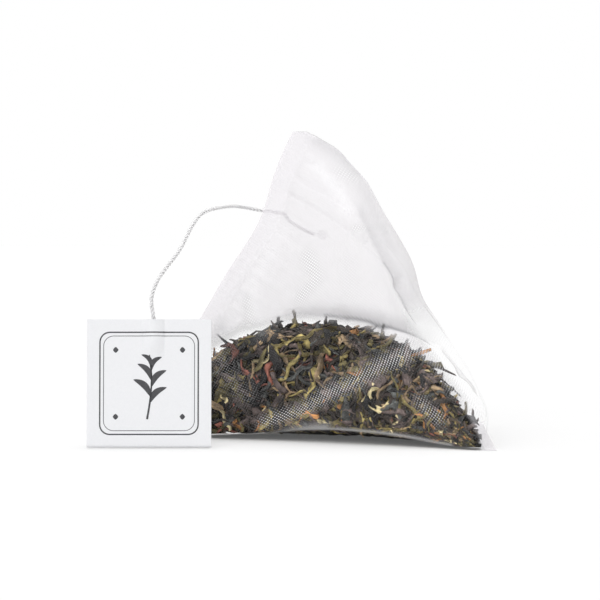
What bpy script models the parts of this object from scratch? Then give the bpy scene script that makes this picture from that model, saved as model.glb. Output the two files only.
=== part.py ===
"""Pyramid tea bag with loose leaf tea, a cotton string and a folded card tag.

The pouch is one tube of woven mesh, welded flat at both ends. The two end seals lie at right
angles to each other, and that makes the pyramid. One seal stands up at the left, from the floor to
the apex, and the other lies on the floor at the right and runs to the back. The tea lies in the
pouch as a heap of curled leaves. The string is tacked to the back of the pouch near the upright
seal, arches over to the left and ends between the two plies of the tag, which stands on the floor.

Metres, +Z up. The origin is on the floor, below the apex. +Y points away from the viewer.
"""
import math
import random

import bmesh
import bpy
import numpy as np
from mathutils import Matrix, Vector, noise
from mathutils.bvhtree import BVHTree

# Pouch: the flat width of the tube is the length of each seal
SEAL_LENGTH = 0.0583
SEAL_LEAN = math.radians(28.0)
FOOT_REACH = 0.0276
FOOT_YAW = math.radians(1.8)
FILM = 0.0003
FIN_WIDTH = 0.0030
FLOOR_FIN_WIDTH = 0.0024
FIN_RIB = 0.00010
FIN_WAIST = 0.12
CREST_BLUNTNESS = 0.64
FLANK_BLUNTNESS = 0.76
SQUARENESS = 2.15
APEX_ROOM = 0.0004
GAP = 0.0003

# Weave: thread bands and windows, counted along a quarter of the tube and along its length
PITCHES_PER_QUARTER = 7
PITCHES_ALONG = 13
THREAD_SHARE = 0.33
WEAVE_RELIEF = 0.00010
WEAVE_START = 0.05
END_ROWS = (0.0, 0.005, 0.024)
INNER_START = 3
WINDOW_MARGIN = 0.13
LAP_SEAM_PITCH = 2
LAP_SEAM_RISE = 0.00022

# Soft form: swells of the right-hand side and of the upright seal: height, spread, push along X
RIGHT_SWELL = 0.0030
RIGHT_FORMS = ((0.0500, 0.0024, 0.0044), (0.0465, 0.0060, 0.0018), (0.0310, 0.0060, -0.0009),
               (0.0235, 0.0050, -0.0029), (0.0165, 0.0050, -0.0018), (0.0040, 0.0035, 0.0013))
SEAL_BOWS = ((0.0360, 0.0080, 0.0023), (0.0220, 0.0090, 0.0012))
SIDE_BLEND = 0.020
APEX_BLEND = 0.005
ARCH_RISE = 0.0024
ARCH_REACH = 0.0090
ARCH_FADE = 0.0250
PRESS_ROUNDING = 0.00025
PRESS_FADE = 0.0030
FLAT_BELOW = 0.00002
BASE_CORNERS = ((-0.0024, -0.0007), (0.0049, -0.0048), (-0.0003, 0.0111))

# Creases in the front wall: start and end in tube coordinates, depth, half width
CREASES = (
    ((1.02, 0.225), (0.83, 0.40), -0.0010, 0.0018),
    ((0.83, 0.40), (0.735, 0.52), -0.0014, 0.0018),
    ((0.735, 0.52), (0.53, 0.70), -0.0012, 0.0018),
    ((0.36, 0.32), (0.40, 0.51), -0.0009, 0.0016),
    ((0.40, 0.51), (0.49, 0.635), -0.0010, 0.0016),
    ((0.488, 0.757), (0.432, 0.833), -0.0012, 0.0016),
    ((0.432, 0.833), (0.44, 0.90), -0.0010, 0.0016),
)

# Tea
TEA_LEVEL = 0.0200
TEA_PEAK = (0.001, -0.008)
TEA_FALL = 0.0100
TEA_FALL_RADIUS = 0.022
TEA_EDGE_START = 0.013
TEA_EDGE_RUN = 0.0145
TEA_EDGE_LEVEL = 0.0036
TEA_WALL_SPACE = 0.0019
TEA_LUMP = 0.0007
TEA_TOP_LUMP = 0.0016
TEA_LUMP_SIZE = 0.0038
HEAP_FOOT = 0.0020
HEAP_COLUMNS = 44
HEAP_SIDE_RINGS = 6
HEAP_TOP_RINGS = 9
WALL_LEAVES = 26
TOP_LEAVES = 16
LEAF_RADIUS = 0.00042
LEAF_SIDES = 5
LEAF_RINGS = 6
LEAF_TIP_SHARE = 0.35
LEAF_LENGTHS = (0.005, 0.010)
LEAF_SPACING = 0.0001
LEAF_SEAT_SLACK = 0.00004
LEAF_SEED = 7
LEAF_TRIES = 4000
LEAF_FINISHES = ("dark_leaf", "olive_leaf", "tan_leaf")
TOP_MARGIN = 0.0010
TOP_SPREAD = 0.011

# String
STRING_DIAMETER = 0.0007
STRING_STEP = 0.0011
STRING_POINTS = (
    (-0.0256, -0.02252, 0.0169), (-0.0256, -0.0222, 0.0206), (-0.0260, -0.0217, 0.0239),
    (-0.0252, -0.0204, 0.0267), (-0.0239, -0.0189, 0.0288), (-0.0216, -0.0160, 0.0320),
    (-0.0196, -0.0125, 0.0361), (-0.0177, -0.0095, 0.0382), (-0.0140, -0.0050, 0.0391),
    (-0.0115, -0.0014, 0.0390), (-0.0093, 0.0006, 0.0386), (-0.0069, 0.0012, 0.0383),
    (-0.0049, 0.0016, 0.03795), (-0.0042, 0.0025, 0.03735), (-0.0036, 0.0037, 0.0366),
    (-0.0018, 0.00552, 0.03549), (0.00054, 0.00717, 0.03434),
)
TACK_PLACE = (3.488, 0.165)
TACK_SIZE = (0.0024, 0.0017, 0.0006)

# Tag
TAG_WIDTH = 0.0201
TAG_HEIGHT = 0.0207
TAG_PLY = 0.0003
TAG_SLIT = 0.0003
TAG_X = -0.0263
TAG_Y = -0.0240
TAG_LEAN = math.radians(5.0)
STRING_X = STRING_POINTS[0][0]
TAG_BOW = 0.00063
TAG_BOW_WIDTH = 0.0036
TAG_BOW_LENGTH = 0.0072


def clear_scene():
    for item in list(bpy.data.objects):
        bpy.data.objects.remove(item, do_unlink=True)


def make_material(name, color, roughness):
    material = bpy.data.materials.new(name)
    material.use_nodes = True
    shader = material.node_tree.nodes["Principled BSDF"]
    shader.inputs["Base Color"].default_value = (*color, 1.0)
    shader.inputs["Roughness"].default_value = roughness
    return material


def add_mesh_object(name, bm, material, smooth=True):
    bmesh.ops.recalc_face_normals(bm, faces=bm.faces)
    if bm.calc_volume(signed=True) < 0:
        bmesh.ops.reverse_faces(bm, faces=bm.faces)
    mesh = bpy.data.meshes.new(name)
    bm.to_mesh(mesh)
    bm.free()
    mesh.materials.append(material)
    if smooth:
        mesh.shade_smooth()
    item = bpy.data.objects.new(name, mesh)
    bpy.context.scene.collection.objects.link(item)
    return item


def gauss(value, centre, spread):
    return np.exp(-((value - centre) / spread) ** 2)


def ramp(value, low, high):
    share = np.clip((value - low) / (high - low), 0.0, 1.0)
    return share * share * (3.0 - 2.0 * share)


# The four corners: apex and left foot end the upright seal, front and back foot the floor seal
APEX = np.array((0.0, 0.0, SEAL_LENGTH * math.cos(SEAL_LEAN)))
LEFT_FOOT = np.array((-SEAL_LENGTH * math.sin(SEAL_LEAN), 0.0, 0.0))
SEAL_HALF = SEAL_LENGTH / 2
FOOT_DIRECTION = np.array((-math.sin(FOOT_YAW), -math.cos(FOOT_YAW), 0.0))
FLOOR_SEAL_MIDDLE = np.array((FOOT_REACH, 0.0, FILM))
UPRIGHT_SEAL_MIDDLE = (APEX + LEFT_FOOT) / 2
UPRIGHT_DIRECTION = (APEX - LEFT_FOOT) / SEAL_LENGTH
FRONT_FOOT = FLOOR_SEAL_MIDDLE + FOOT_DIRECTION * SEAL_HALF
TUBE_AXIS = FLOOR_SEAL_MIDDLE - UPRIGHT_SEAL_MIDDLE
TUBE_DIRECTION = TUBE_AXIS / np.linalg.norm(TUBE_AXIS)
APEX_HEIGHT = APEX[2]
TUBE_LENGTH = np.linalg.norm(TUBE_AXIS)
UP = np.array((0.0, 0.0, 1.0))
FLOOR_FIN_DIRECTION = np.cross(FOOT_DIRECTION, -UP)
BACK_FOOT = FLOOR_SEAL_MIDDLE - FOOT_DIRECTION * SEAL_HALF
HEAP_CENTRE = (LEFT_FOOT + FRONT_FOOT + BACK_FOOT) / 3


def section_exponent(v):
    return SQUARENESS + 0.25 * 4 * v * (1 - v)


def quarter_arc(upright, across, exponent):
    angle = np.linspace(0.0, math.pi / 2, 241)
    first = upright * np.cos(angle) ** (2 / exponent)
    second = across * np.sin(angle) ** (2 / exponent)
    steps = np.hypot(np.diff(first), np.diff(second))
    length = np.concatenate(([0.0], np.cumsum(steps)))
    return first, second, length


def section_ring(v, turns):
    """Points of the tube's section at v, spaced along its film: turn 0 faces the apex."""
    exponent = section_exponent(v)
    upright = max((1 - v) ** CREST_BLUNTNESS, 1e-4)
    across = max(v ** FLANK_BLUNTNESS, 1e-4)
    length = quarter_arc(upright, across, exponent)[2]
    scale = SEAL_HALF / length[-1]
    upright = max(upright * scale, FILM)
    across = max(across * scale, FILM)
    first, second, length = quarter_arc(upright, across, exponent)
    share = length / length[-1]
    quarter = np.floor(turns).astype(int) % 4
    part = turns - np.floor(turns)
    part = np.where(quarter % 2 == 1, 1 - part, part)
    along = np.interp(part, share, first) * np.where((quarter == 1) | (quarter == 2), -1, 1)
    side = np.interp(part, share, second) * np.where(quarter >= 2, -1, 1)
    centre = UPRIGHT_SEAL_MIDDLE + TUBE_AXIS * v
    return centre + np.outer(along, UPRIGHT_DIRECTION) + np.outer(side, FOOT_DIRECTION)


def push_of(height, form):
    centre, spread, push = form
    return push * gauss(height, centre, spread)


def soften(points, turns, v):
    """Swell the right side, bow the seal, lift the front edge, crease and press to the floor."""
    points = points.copy()
    height = points[:, 2]
    level = np.clip(height / APEX_HEIGHT, 0.0, 1.0)
    from_seal = points[:, 0] - LEFT_FOOT[0] * (1 - level)
    blend = SIDE_BLEND + (APEX_BLEND - SIDE_BLEND) * level ** 3
    right = np.clip(from_seal / blend, 0.0, 1.0) ** 2
    swell = RIGHT_SWELL * np.sin(math.pi * level)
    for form in RIGHT_FORMS:
        swell = swell + push_of(height, form)
    bow = sum(push_of(height, form) for form in SEAL_BOWS)
    points[:, 0] += swell * right + bow * (1 - right)
    for start, end, depth, half_width in CREASES:
        points += crease_push(turns, v, start, end, depth, half_width)
    points[:, 2] = press_to_floor(points[:, 2]) + front_arch(points)
    height = np.minimum(points[:, 2], APEX_HEIGHT + APEX_ROOM)
    points[:, 2] = np.where(height < FLAT_BELOW, 0.0, height)
    return points


def crease_push(turns, v, start, end, depth, half_width):
    """Push along the front wall's normal, on a line between two places on the film."""
    film = np.stack((turns * SEAL_HALF, np.full_like(turns, v) * TUBE_LENGTH), axis=1)
    first = np.array((start[0] * SEAL_HALF, start[1] * TUBE_LENGTH))
    last = np.array((end[0] * SEAL_HALF, end[1] * TUBE_LENGTH))
    run = last - first
    share = np.clip((film - first) @ run / (run @ run), 0.0, 1.0)
    away = np.linalg.norm(film - first - np.outer(share, run), axis=1)
    fade = np.sin(math.pi * (0.1 + 0.8 * share))
    push = depth * fade * np.exp(-(away / half_width) ** 2)
    return np.outer(push, FRONT_NORMAL)


def press_to_floor(height):
    height = height - PRESS_ROUNDING * np.exp(-np.clip(height, 0.0, None) / PRESS_FADE)
    eased = (height + PRESS_ROUNDING) ** 2 / (4 * PRESS_ROUNDING)
    inside = np.where(height > PRESS_ROUNDING, height, eased)
    return np.where(height < -PRESS_ROUNDING, 0.0, inside)


def front_arch(points):
    """The middle of the front edge stands a little off the floor."""
    run = FRONT_FOOT - LEFT_FOOT
    length = np.linalg.norm(run[:2])
    ahead = np.array((run[1], -run[0])) / length
    relative = points[:, :2] - LEFT_FOOT[:2]
    share = np.clip(relative @ run[:2] / length ** 2, 0.0, 1.0)
    inward = relative @ -ahead
    rise = ARCH_RISE * np.sin(math.pi * share) ** 2 * ramp(inward, ARCH_REACH, 0.0)
    return rise * np.exp(-points[:, 2] / ARCH_FADE)


FRONT_NORMAL = np.cross(APEX - LEFT_FOOT, FRONT_FOOT - LEFT_FOOT)
FRONT_NORMAL = FRONT_NORMAL / np.linalg.norm(FRONT_NORMAL)
if FRONT_NORMAL[1] > 0:
    FRONT_NORMAL = -FRONT_NORMAL


def fin_ring(turns, middle, seal_direction, thickness_direction, tip_turn, offset):
    """Two flat layers of film, one above the other, along a seal."""
    from_tip = np.abs((turns - tip_turn + 2) % 4 - 2)
    along = SEAL_HALF * (1 - from_tip)
    layer = np.where((turns - tip_turn) % 4 < 2, 1.0, -1.0)
    rib = FIN_RIB * (np.arange(len(turns)) // 2 % 2)
    points = middle + offset + np.outer(along, seal_direction)
    return points + np.outer(layer * (FILM + rib), thickness_direction)


def upright_fin_ring(turns, width):
    offset = -TUBE_DIRECTION * width
    return fin_ring(turns, UPRIGHT_SEAL_MIDDLE, UPRIGHT_DIRECTION, FOOT_DIRECTION, 0.0, offset)


def floor_fin_ring(turns, width):
    """The fin's outer edge is drawn in a little between its two corners."""
    waist = width * FIN_WAIST * np.cos(turns * math.pi / 2) ** 2
    offset = np.outer(width - waist, FLOOR_FIN_DIRECTION)
    return fin_ring(turns, FLOOR_SEAL_MIDDLE, FOOT_DIRECTION, -UP, 1.0, offset)


def film_ring(v, turns):
    return soften(section_ring(v, turns), turns, v)


def film_place(turn, v):
    """A place on the film and the direction out of the pouch there."""
    step = 0.01
    turns = np.array((turn - step, turn, turn + step))
    low, here, high = (film_ring(value, turns) for value in (v - step, v, v + step))
    normal = np.cross(high[1] - low[1], here[2] - here[0])
    normal = normal / np.linalg.norm(normal)
    if normal @ (here[1] - HEAP_CENTRE) < 0:
        normal = -normal
    return here[1], normal


def column_turns():
    pitch = 1.0 / PITCHES_PER_QUARTER
    half_band = pitch * THREAD_SHARE / 2
    centres = np.arange(4 * PITCHES_PER_QUARTER) * pitch
    return np.stack((centres - half_band, centres + half_band), axis=1).ravel()


def weave_rows():
    pitch = (1 - 2 * WEAVE_START) / PITCHES_ALONG
    rows = []
    for index in range(PITCHES_ALONG):
        rows += [WEAVE_START + index * pitch, WEAVE_START + (index + THREAD_SHARE) * pitch]
    return rows + [1 - WEAVE_START]


def grid_normals(grid):
    across = np.roll(grid, -1, axis=1) - np.roll(grid, 1, axis=1)
    along = np.gradient(grid, axis=0)
    normals = np.cross(along, across)
    normals /= np.linalg.norm(normals, axis=2, keepdims=True) + 1e-12
    middle = len(grid) // 2
    outward = grid[middle] - grid[middle].mean(axis=0)
    if np.sum(normals[middle] * outward) < 0:
        normals = -normals
    return normals


def film_rows():
    """Places along the tube from one seal to the other. The woven rows are between the end rows."""
    return list(END_ROWS) + weave_rows() + [1 - value for value in reversed(END_ROWS)]


def pouch_grids():
    """Points of the outer surface, fins included, and of the inner surface between the seals."""
    turns = column_turns()
    outer = [soften(upright_fin_ring(turns, FIN_WIDTH), turns, 0.0)]
    outer += [soften(upright_fin_ring(turns, FIN_WIDTH / 2), turns, 0.0)]
    outer += [soften(upright_fin_ring(turns, 0.0), turns, 0.0)]
    outer += [film_ring(v, turns) for v in film_rows()[1:-1]]
    outer += [soften(floor_fin_ring(turns, 0.0), turns, 1.0)]
    outer += [soften(floor_fin_ring(turns, FLOOR_FIN_WIDTH), turns, 1.0)]
    outer = np.array(outer)
    normals = grid_normals(outer)
    lift = np.zeros(outer.shape[:2])
    first = INNER_START + len(END_ROWS) - 1
    for row in range(len(weave_rows())):
        for column in range(len(turns)):
            lift[first + row, column] = WEAVE_RELIEF * (-1) ** (row // 2 + column // 2)
    seam = 2 * LAP_SEAM_PITCH + 1
    lift[2:-2, seam:seam + 2] += LAP_SEAM_RISE
    lift *= ramp(outer[:, :, 2], 2 * FILM, 5 * FILM)
    inner = outer - normals * FILM
    outer = outer + normals * lift[:, :, None]
    return outer, inner[INNER_START:-2]


def is_window(row, column, rows, turns):
    """Windows lie between the thread bands of the front wall, clear of its soft edges."""
    if row % 2 == 0 or column % 2 == 0 or not 0 <= row < len(rows) - 1:
        return False
    if column == 2 * LAP_SEAM_PITCH + 1:
        return False
    v = (rows[row] + rows[row + 1]) / 2
    turn = (turns[column] + turns[(column + 1) % len(turns)]) / 2
    return v + WINDOW_MARGIN < turn < 2 - v - WINDOW_MARGIN


def cell(rings, row, column):
    after = (column + 1) % len(rings[row])
    return [rings[row][column], rings[row][after], rings[row + 1][after], rings[row + 1][column]]


def add_pouch():
    outer, inner = pouch_grids()
    turns = column_turns()
    rows = weave_rows()
    count = len(turns)
    bm = bmesh.new()
    out = [[bm.verts.new(point) for point in ring] for ring in outer]
    ins = [[bm.verts.new(point) for point in ring] for ring in inner]
    for row in range(len(out) - 1):
        inner_row = row - INNER_START
        woven_row = inner_row - len(END_ROWS) + 1
        for column in range(count):
            corners = cell(out, row, column)
            if not 0 <= inner_row < len(ins) - 1:
                bm.faces.new(corners)
                continue
            back = cell(ins, inner_row, column)
            if is_window(woven_row, column, rows, turns):
                for side in range(4):
                    other = (side + 1) % 4
                    bm.faces.new((corners[side], corners[other], back[other], back[side]))
            else:
                bm.faces.new(corners)
                bm.faces.new(back[::-1])
    for ring, tip in ((out[0], 0), (out[-1], 1), (ins[0], 0), (ins[-1], 1)):
        for quad in end_quads(count, tip):
            bm.faces.new([ring[column] for column in quad])
    make_base(bm)
    return add_mesh_object("mesh_pouch", bm, MATERIALS["mesh"])


def make_base(bm):
    """Join the facets that lie flat on the floor, with one large facet below the apex."""
    flat = [face for face in bm.faces if all(vertex.co.z == 0.0 for vertex in face.verts)]
    joined = bmesh.ops.dissolve_faces(bm, faces=flat, use_verts=True)["region"]
    base = max(joined, key=lambda face: face.calc_area())
    ring = list(base.verts)
    picks = []
    for corner in BASE_CORNERS:
        places = [(vertex.co.xy - Vector(corner)).length for vertex in ring]
        picks.append(places.index(min(places)))
    picks.sort()
    bm.faces.remove(base)
    bm.faces.new([ring[index] for index in picks])
    for first, last in zip(picks, picks[1:] + picks[:1]):
        run = (last - first) % len(ring)
        if run > 1:
            bm.faces.new([ring[(first + step) % len(ring)] for step in range(run + 1)])


def end_quads(count, tip):
    """Quads between the two layers of a flattened ring. The tip turn is 0 or 1."""
    first = 2 * PITCHES_PER_QUARTER * tip + 1
    mirror = 2 * first - 1
    for column in range(first, first + count // 2 - 1):
        yield (column % count, (column + 1) % count,
               (mirror - column - 1) % count, (mirror - column) % count)


def pouch_tree():
    """A search tree of the outer film, without windows."""
    turns = column_turns()
    rings = [film_ring(v, turns) for v in film_rows()]
    count = len(turns)
    points = [Vector(point) for ring in rings for point in ring]
    faces = []
    for row in range(len(rings) - 1):
        for column in range(count):
            after = (column + 1) % count
            faces.append((row * count + column, row * count + after,
                          (row + 1) * count + after, (row + 1) * count + column))
    last = (len(rings) - 1) * count
    faces += [quad for quad in end_quads(count, 0)]
    faces += [tuple(last + column for column in quad) for quad in end_quads(count, 1)]
    return BVHTree.FromPolygons(points, faces)


def heap_top(x, y):
    away = math.hypot(x - TEA_PEAK[0], y - TEA_PEAK[1])
    lump = TEA_TOP_LUMP * noise.noise(Vector((x, y, 0.0)) / TEA_LUMP_SIZE)
    level = TEA_LEVEL - TEA_FALL * (1 - math.exp(-(away / TEA_FALL_RADIUS) ** 2)) + lump
    share = min(max((x - TEA_EDGE_START) / TEA_EDGE_RUN, 0.0), 1.0)
    return level - (level - TEA_EDGE_LEVEL) * share ** 2


def wall_radius(tree, angle, height):
    """Distance from the heap's middle line to the tea's side, level with a height."""
    start = Vector((HEAP_CENTRE[0], HEAP_CENTRE[1], height))
    way = Vector((math.cos(angle), math.sin(angle), 0.0))
    hit, normal, _, distance = tree.ray_cast(start, way)
    slant = max(abs(normal.dot(way)), 0.35)
    radius = distance - TEA_WALL_SPACE / slant
    lump = TEA_LUMP * (0.5 + 0.5 * noise.noise(hit / TEA_LUMP_SIZE))
    return max(radius - lump, 0.002)


def keep_clear(tree, point, space):
    """Draw a point towards the middle of the heap until it has its space to the film."""
    middle = Vector((HEAP_CENTRE[0], HEAP_CENTRE[1], TEA_LEVEL / 3))
    for _ in range(60):
        if tree.find_nearest(point)[3] >= space:
            break
        point = point + (middle - point).normalized() * 0.00015
    return point


def heap_rings(tree):
    rings = []
    angles = [2 * math.pi * index / HEAP_COLUMNS for index in range(HEAP_COLUMNS)]
    floor = FILM + GAP
    for share in (0.35, 0.62, 0.82):
        ring = []
        for angle in angles:
            radius = wall_radius(tree, angle, HEAP_FOOT) * share
            x = HEAP_CENTRE[0] + radius * math.cos(angle)
            y = HEAP_CENTRE[1] + radius * math.sin(angle)
            base = tree.ray_cast(Vector((x, y, TEA_LEVEL / 2)), Vector((0, 0, -1)))[0]
            height = (base.z if base else 0.0) + floor
            ring.append(keep_clear(tree, Vector((x, y, height)), floor))
        rings.append(ring)
    for level in range(HEAP_SIDE_RINGS):
        ring = []
        for angle in angles:
            height = TEA_LEVEL
            for _ in range(8):
                radius = wall_radius(tree, angle, height)
                x = HEAP_CENTRE[0] + radius * math.cos(angle)
                y = HEAP_CENTRE[1] + radius * math.sin(angle)
                height = heap_top(x, y)
            share = level / (HEAP_SIDE_RINGS - 1)
            height = HEAP_FOOT + (height - HEAP_FOOT) * share
            radius = wall_radius(tree, angle, height)
            x = HEAP_CENTRE[0] + radius * math.cos(angle)
            y = HEAP_CENTRE[1] + radius * math.sin(angle)
            ring.append(keep_clear(tree, Vector((x, y, height)), TEA_WALL_SPACE))
        rings.append(ring)
    rim = rings[-1]
    for level in range(1, HEAP_TOP_RINGS):
        share = 1 - level / HEAP_TOP_RINGS
        ring = []
        for point in rim:
            x = HEAP_CENTRE[0] + (point.x - HEAP_CENTRE[0]) * share
            y = HEAP_CENTRE[1] + (point.y - HEAP_CENTRE[1]) * share
            ring.append(Vector((x, y, heap_top(x, y))))
        rings.append(ring)
    return rings


def add_heap(tree):
    rings = heap_rings(tree)
    bm = bmesh.new()
    verts = [[bm.verts.new(point) for point in ring] for ring in rings]
    for low, high in zip(verts, verts[1:]):
        for column in range(HEAP_COLUMNS):
            after = (column + 1) % HEAP_COLUMNS
            bm.faces.new((low[column], low[after], high[after], high[column]))
    middle_x, middle_y = HEAP_CENTRE[:2]
    bottom = bm.verts.new((middle_x, middle_y, FILM + GAP))
    top = bm.verts.new((middle_x, middle_y, heap_top(middle_x, middle_y)))
    for column in range(HEAP_COLUMNS):
        after = (column + 1) % HEAP_COLUMNS
        bm.faces.new((bottom, verts[0][after], verts[0][column]))
        bm.faces.new((top, verts[-1][column], verts[-1][after]))
    item = add_mesh_object("tea_heap", bm, MATERIALS["tea"])
    item.data.update()
    points = [vertex.co.copy() for vertex in item.data.vertices]
    faces = [tuple(face.vertices) for face in item.data.polygons]
    return BVHTree.FromPolygons(points, faces)


def leaf_radius(share):
    """A curled leaf is widest before its middle and narrow at both tips."""
    body = math.sin(math.pi * (0.12 + 0.76 * share)) ** 0.7
    return LEAF_RADIUS * (LEAF_TIP_SHARE + (1 - LEAF_TIP_SHARE) * body)


def add_leaf(name, spine, material):
    """A closed curled leaf: five-sided rings along its spine, turning as they go."""
    bm = bmesh.new()
    rings = []
    for index, point in enumerate(spine):
        before = spine[max(index - 1, 0)]
        after = spine[min(index + 1, len(spine) - 1)]
        way = (after - before).normalized()
        side = way.cross(Vector((0.3, 0.2, 1.0))).normalized()
        other = way.cross(side).normalized()
        radius = leaf_radius(index / (len(spine) - 1))
        ring = []
        for corner in range(LEAF_SIDES):
            angle = 2 * math.pi * corner / LEAF_SIDES + 0.5 * index
            reach = radius * (1.0 if corner % 2 else 0.72)
            ring.append(bm.verts.new(point + side * reach * math.cos(angle)
                                     + other * reach * math.sin(angle)))
        rings.append(ring)
    for low, high in zip(rings, rings[1:]):
        for corner in range(LEAF_SIDES):
            after = (corner + 1) % LEAF_SIDES
            bm.faces.new((low[corner], low[after], high[after], high[corner]))
    bm.faces.new(rings[0][::-1])
    bm.faces.new(rings[-1])
    return add_mesh_object(name, bm, material, smooth=False)


def spine_is_clear(spine, film_tree, heap_tree, taken):
    needed_film = FILM + GAP
    for index, point in enumerate(spine):
        radius = leaf_radius(index / (len(spine) - 1))
        if film_tree.find_nearest(point)[3] < needed_film + radius:
            return False
        if heap_tree.find_nearest(point)[3] < GAP * 0.9 + radius:
            return False
    for other in taken:
        for point in spine:
            for second in other:
                if (point - second).length < 2 * LEAF_RADIUS + 2 * GAP + LEAF_SPACING:
                    return False
    return True


def wall_spine(rng, walls):
    """A spine that lies flat against the inside of the film."""
    low, high = rng.choice(walls)
    v = rng.uniform(0.15, 0.85)
    turn = low(v) + (high(v) - low(v)) * rng.uniform(0.15, 0.85)
    angle = rng.uniform(0, math.pi)
    length = rng.uniform(*LEAF_LENGTHS)
    bend = rng.uniform(-0.9, 0.9)
    spine = []
    inward = FILM + GAP + LEAF_RADIUS + LEAF_SEAT_SLACK
    for index in range(LEAF_RINGS):
        share = index / (LEAF_RINGS - 1) - 0.5
        way = angle + bend * share
        place_turn = turn + share * length * math.cos(way) / SEAL_HALF
        place_v = v + share * length * math.sin(way) / TUBE_LENGTH
        place, normal = film_place(place_turn, min(max(place_v, 0.08), 0.92))
        spine.append(Vector(place - normal * inward))
    return spine


def below_tea_top(spine):
    for point in spine:
        if not 2 * LEAF_RADIUS + 3 * GAP < point.z < heap_top(point.x, point.y) - TOP_MARGIN:
            return False
    return True


def top_spine(rng, heap_tree):
    """A spine that lies on the heap at one end and stands clear of it at the other."""
    angle = rng.uniform(0, 2 * math.pi)
    x = TEA_PEAK[0] + rng.uniform(-TOP_SPREAD, TOP_SPREAD)
    y = TEA_PEAK[1] + rng.uniform(0.0, TOP_SPREAD)
    length = rng.uniform(*LEAF_LENGTHS)
    rise = rng.uniform(0.25, 0.75)
    spine = []
    for index in range(LEAF_RINGS):
        share = index / (LEAF_RINGS - 1)
        px = x + share * length * math.cos(angle)
        py = y + share * length * math.sin(angle)
        hit = heap_tree.ray_cast(Vector((px, py, 2 * TEA_LEVEL)), Vector((0, 0, -1)))[0]
        if hit is None:
            return None
        seat = hit.z + (GAP + LEAF_RADIUS) * 1.25
        spine.append(Vector((px, py, seat + rise * length * max(share - 0.4, 0.0))))
    return spine


FRONT_WALL = (lambda v: v, lambda v: 2 - v)
RIGHT_WALL = (lambda v: -v, lambda v: v)
BACK_WALL = (lambda v: 2 + v, lambda v: 4 - v)


def add_leaves(film_tree, heap_tree):
    """Each leaf is drawn from numbers of its own, so that one leaf's place can't shift another."""
    walls = (FRONT_WALL, FRONT_WALL, FRONT_WALL, RIGHT_WALL, BACK_WALL)
    taken = []
    for number in range(1, WALL_LEAVES + 1):
        rng = random.Random(LEAF_SEED + number)
        for _ in range(LEAF_TRIES):
            spine = wall_spine(rng, walls)
            if below_tea_top(spine) and spine_is_clear(spine, film_tree, heap_tree, taken):
                break
        taken.append(spine)
        add_leaf(f"leaf_{number:02d}", spine, MATERIALS[LEAF_FINISHES[number % 3]])
    for number in range(1, TOP_LEAVES + 1):
        rng = random.Random(LEAF_SEED * 100 + number)
        for _ in range(LEAF_TRIES):
            spine = top_spine(rng, heap_tree)
            if spine and spine_is_clear(spine, film_tree, heap_tree, taken):
                break
        taken.append(spine)
        add_leaf(f"stem_{number:02d}", spine, MATERIALS[LEAF_FINISHES[number % 3]])


def smooth_route(points, step):
    """Points at even steps on a smooth curve through the route's own points."""
    knots = [Vector(point) for point in points]
    knots = [2 * knots[0] - knots[1]] + knots + [2 * knots[-1] - knots[-2]]
    dense = []
    for a, b, c, d in zip(knots, knots[1:], knots[2:], knots[3:]):
        for index in range(24):
            t = index / 24
            dense.append(0.5 * (2 * b + (c - a) * t + (2 * a - 5 * b + 4 * c - d) * t ** 2
                                + (3 * b - a - 3 * c + d) * t ** 3))
    dense.append(knots[-2])
    lengths = [0.0]
    for first, second in zip(dense, dense[1:]):
        lengths.append(lengths[-1] + (second - first).length)
    count = round(lengths[-1] / step)
    marks = [lengths[-1] * index / count for index in range(count + 1)]
    columns = np.array([tuple(point) for point in dense])
    return np.stack([np.interp(marks, lengths, columns[:, axis]) for axis in range(3)], axis=1)


def add_string():
    route = smooth_route(STRING_POINTS, STRING_STEP)
    curve = bpy.data.curves.new("string", "CURVE")
    curve.dimensions = "3D"
    curve.bevel_depth = STRING_DIAMETER / 2
    curve.bevel_resolution = 2
    curve.use_fill_caps = True
    spline = curve.splines.new("POLY")
    spline.points.add(len(route) - 1)
    for index, point in enumerate(route):
        spline.points[index].co = (*point, 1.0)
    curve.materials.append(MATERIALS["cotton"])
    item = bpy.data.objects.new("string", curve)
    bpy.context.scene.collection.objects.link(item)


def add_string_tack():
    """The flattened spot that holds the string's end on the film."""
    place, normal = film_place(*TACK_PLACE)
    bm = bmesh.new()
    bmesh.ops.create_uvsphere(bm, u_segments=12, v_segments=6, radius=1.0)
    size = Matrix.Diagonal((*TACK_SIZE, 1.0)) * 0.5
    size[3][3] = 1.0
    up = Vector(normal)
    along = (Vector(STRING_POINTS[-1]) - Vector(STRING_POINTS[-2])).normalized()
    along = (along - up * along.dot(up)).normalized()
    side = up.cross(along)
    turn = Matrix((along, side, up)).transposed().to_4x4()
    centre = Vector(place) + up * (GAP + TACK_SIZE[2] / 2)
    bm.transform(Matrix.Translation(centre) @ turn @ size)
    add_mesh_object("string_tack", bm, MATERIALS["mesh"])


def tag_columns():
    """Places across the tag, from the middle of its bow outwards."""
    bow = TAG_BOW_WIDTH / 2
    inner = [bow * share for share in (-1.0, -0.6, -0.25, 0.25, 0.6, 1.0)]
    return [TAG_X - STRING_X - TAG_WIDTH / 2] + inner + [TAG_X - STRING_X + TAG_WIDTH / 2]


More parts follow.
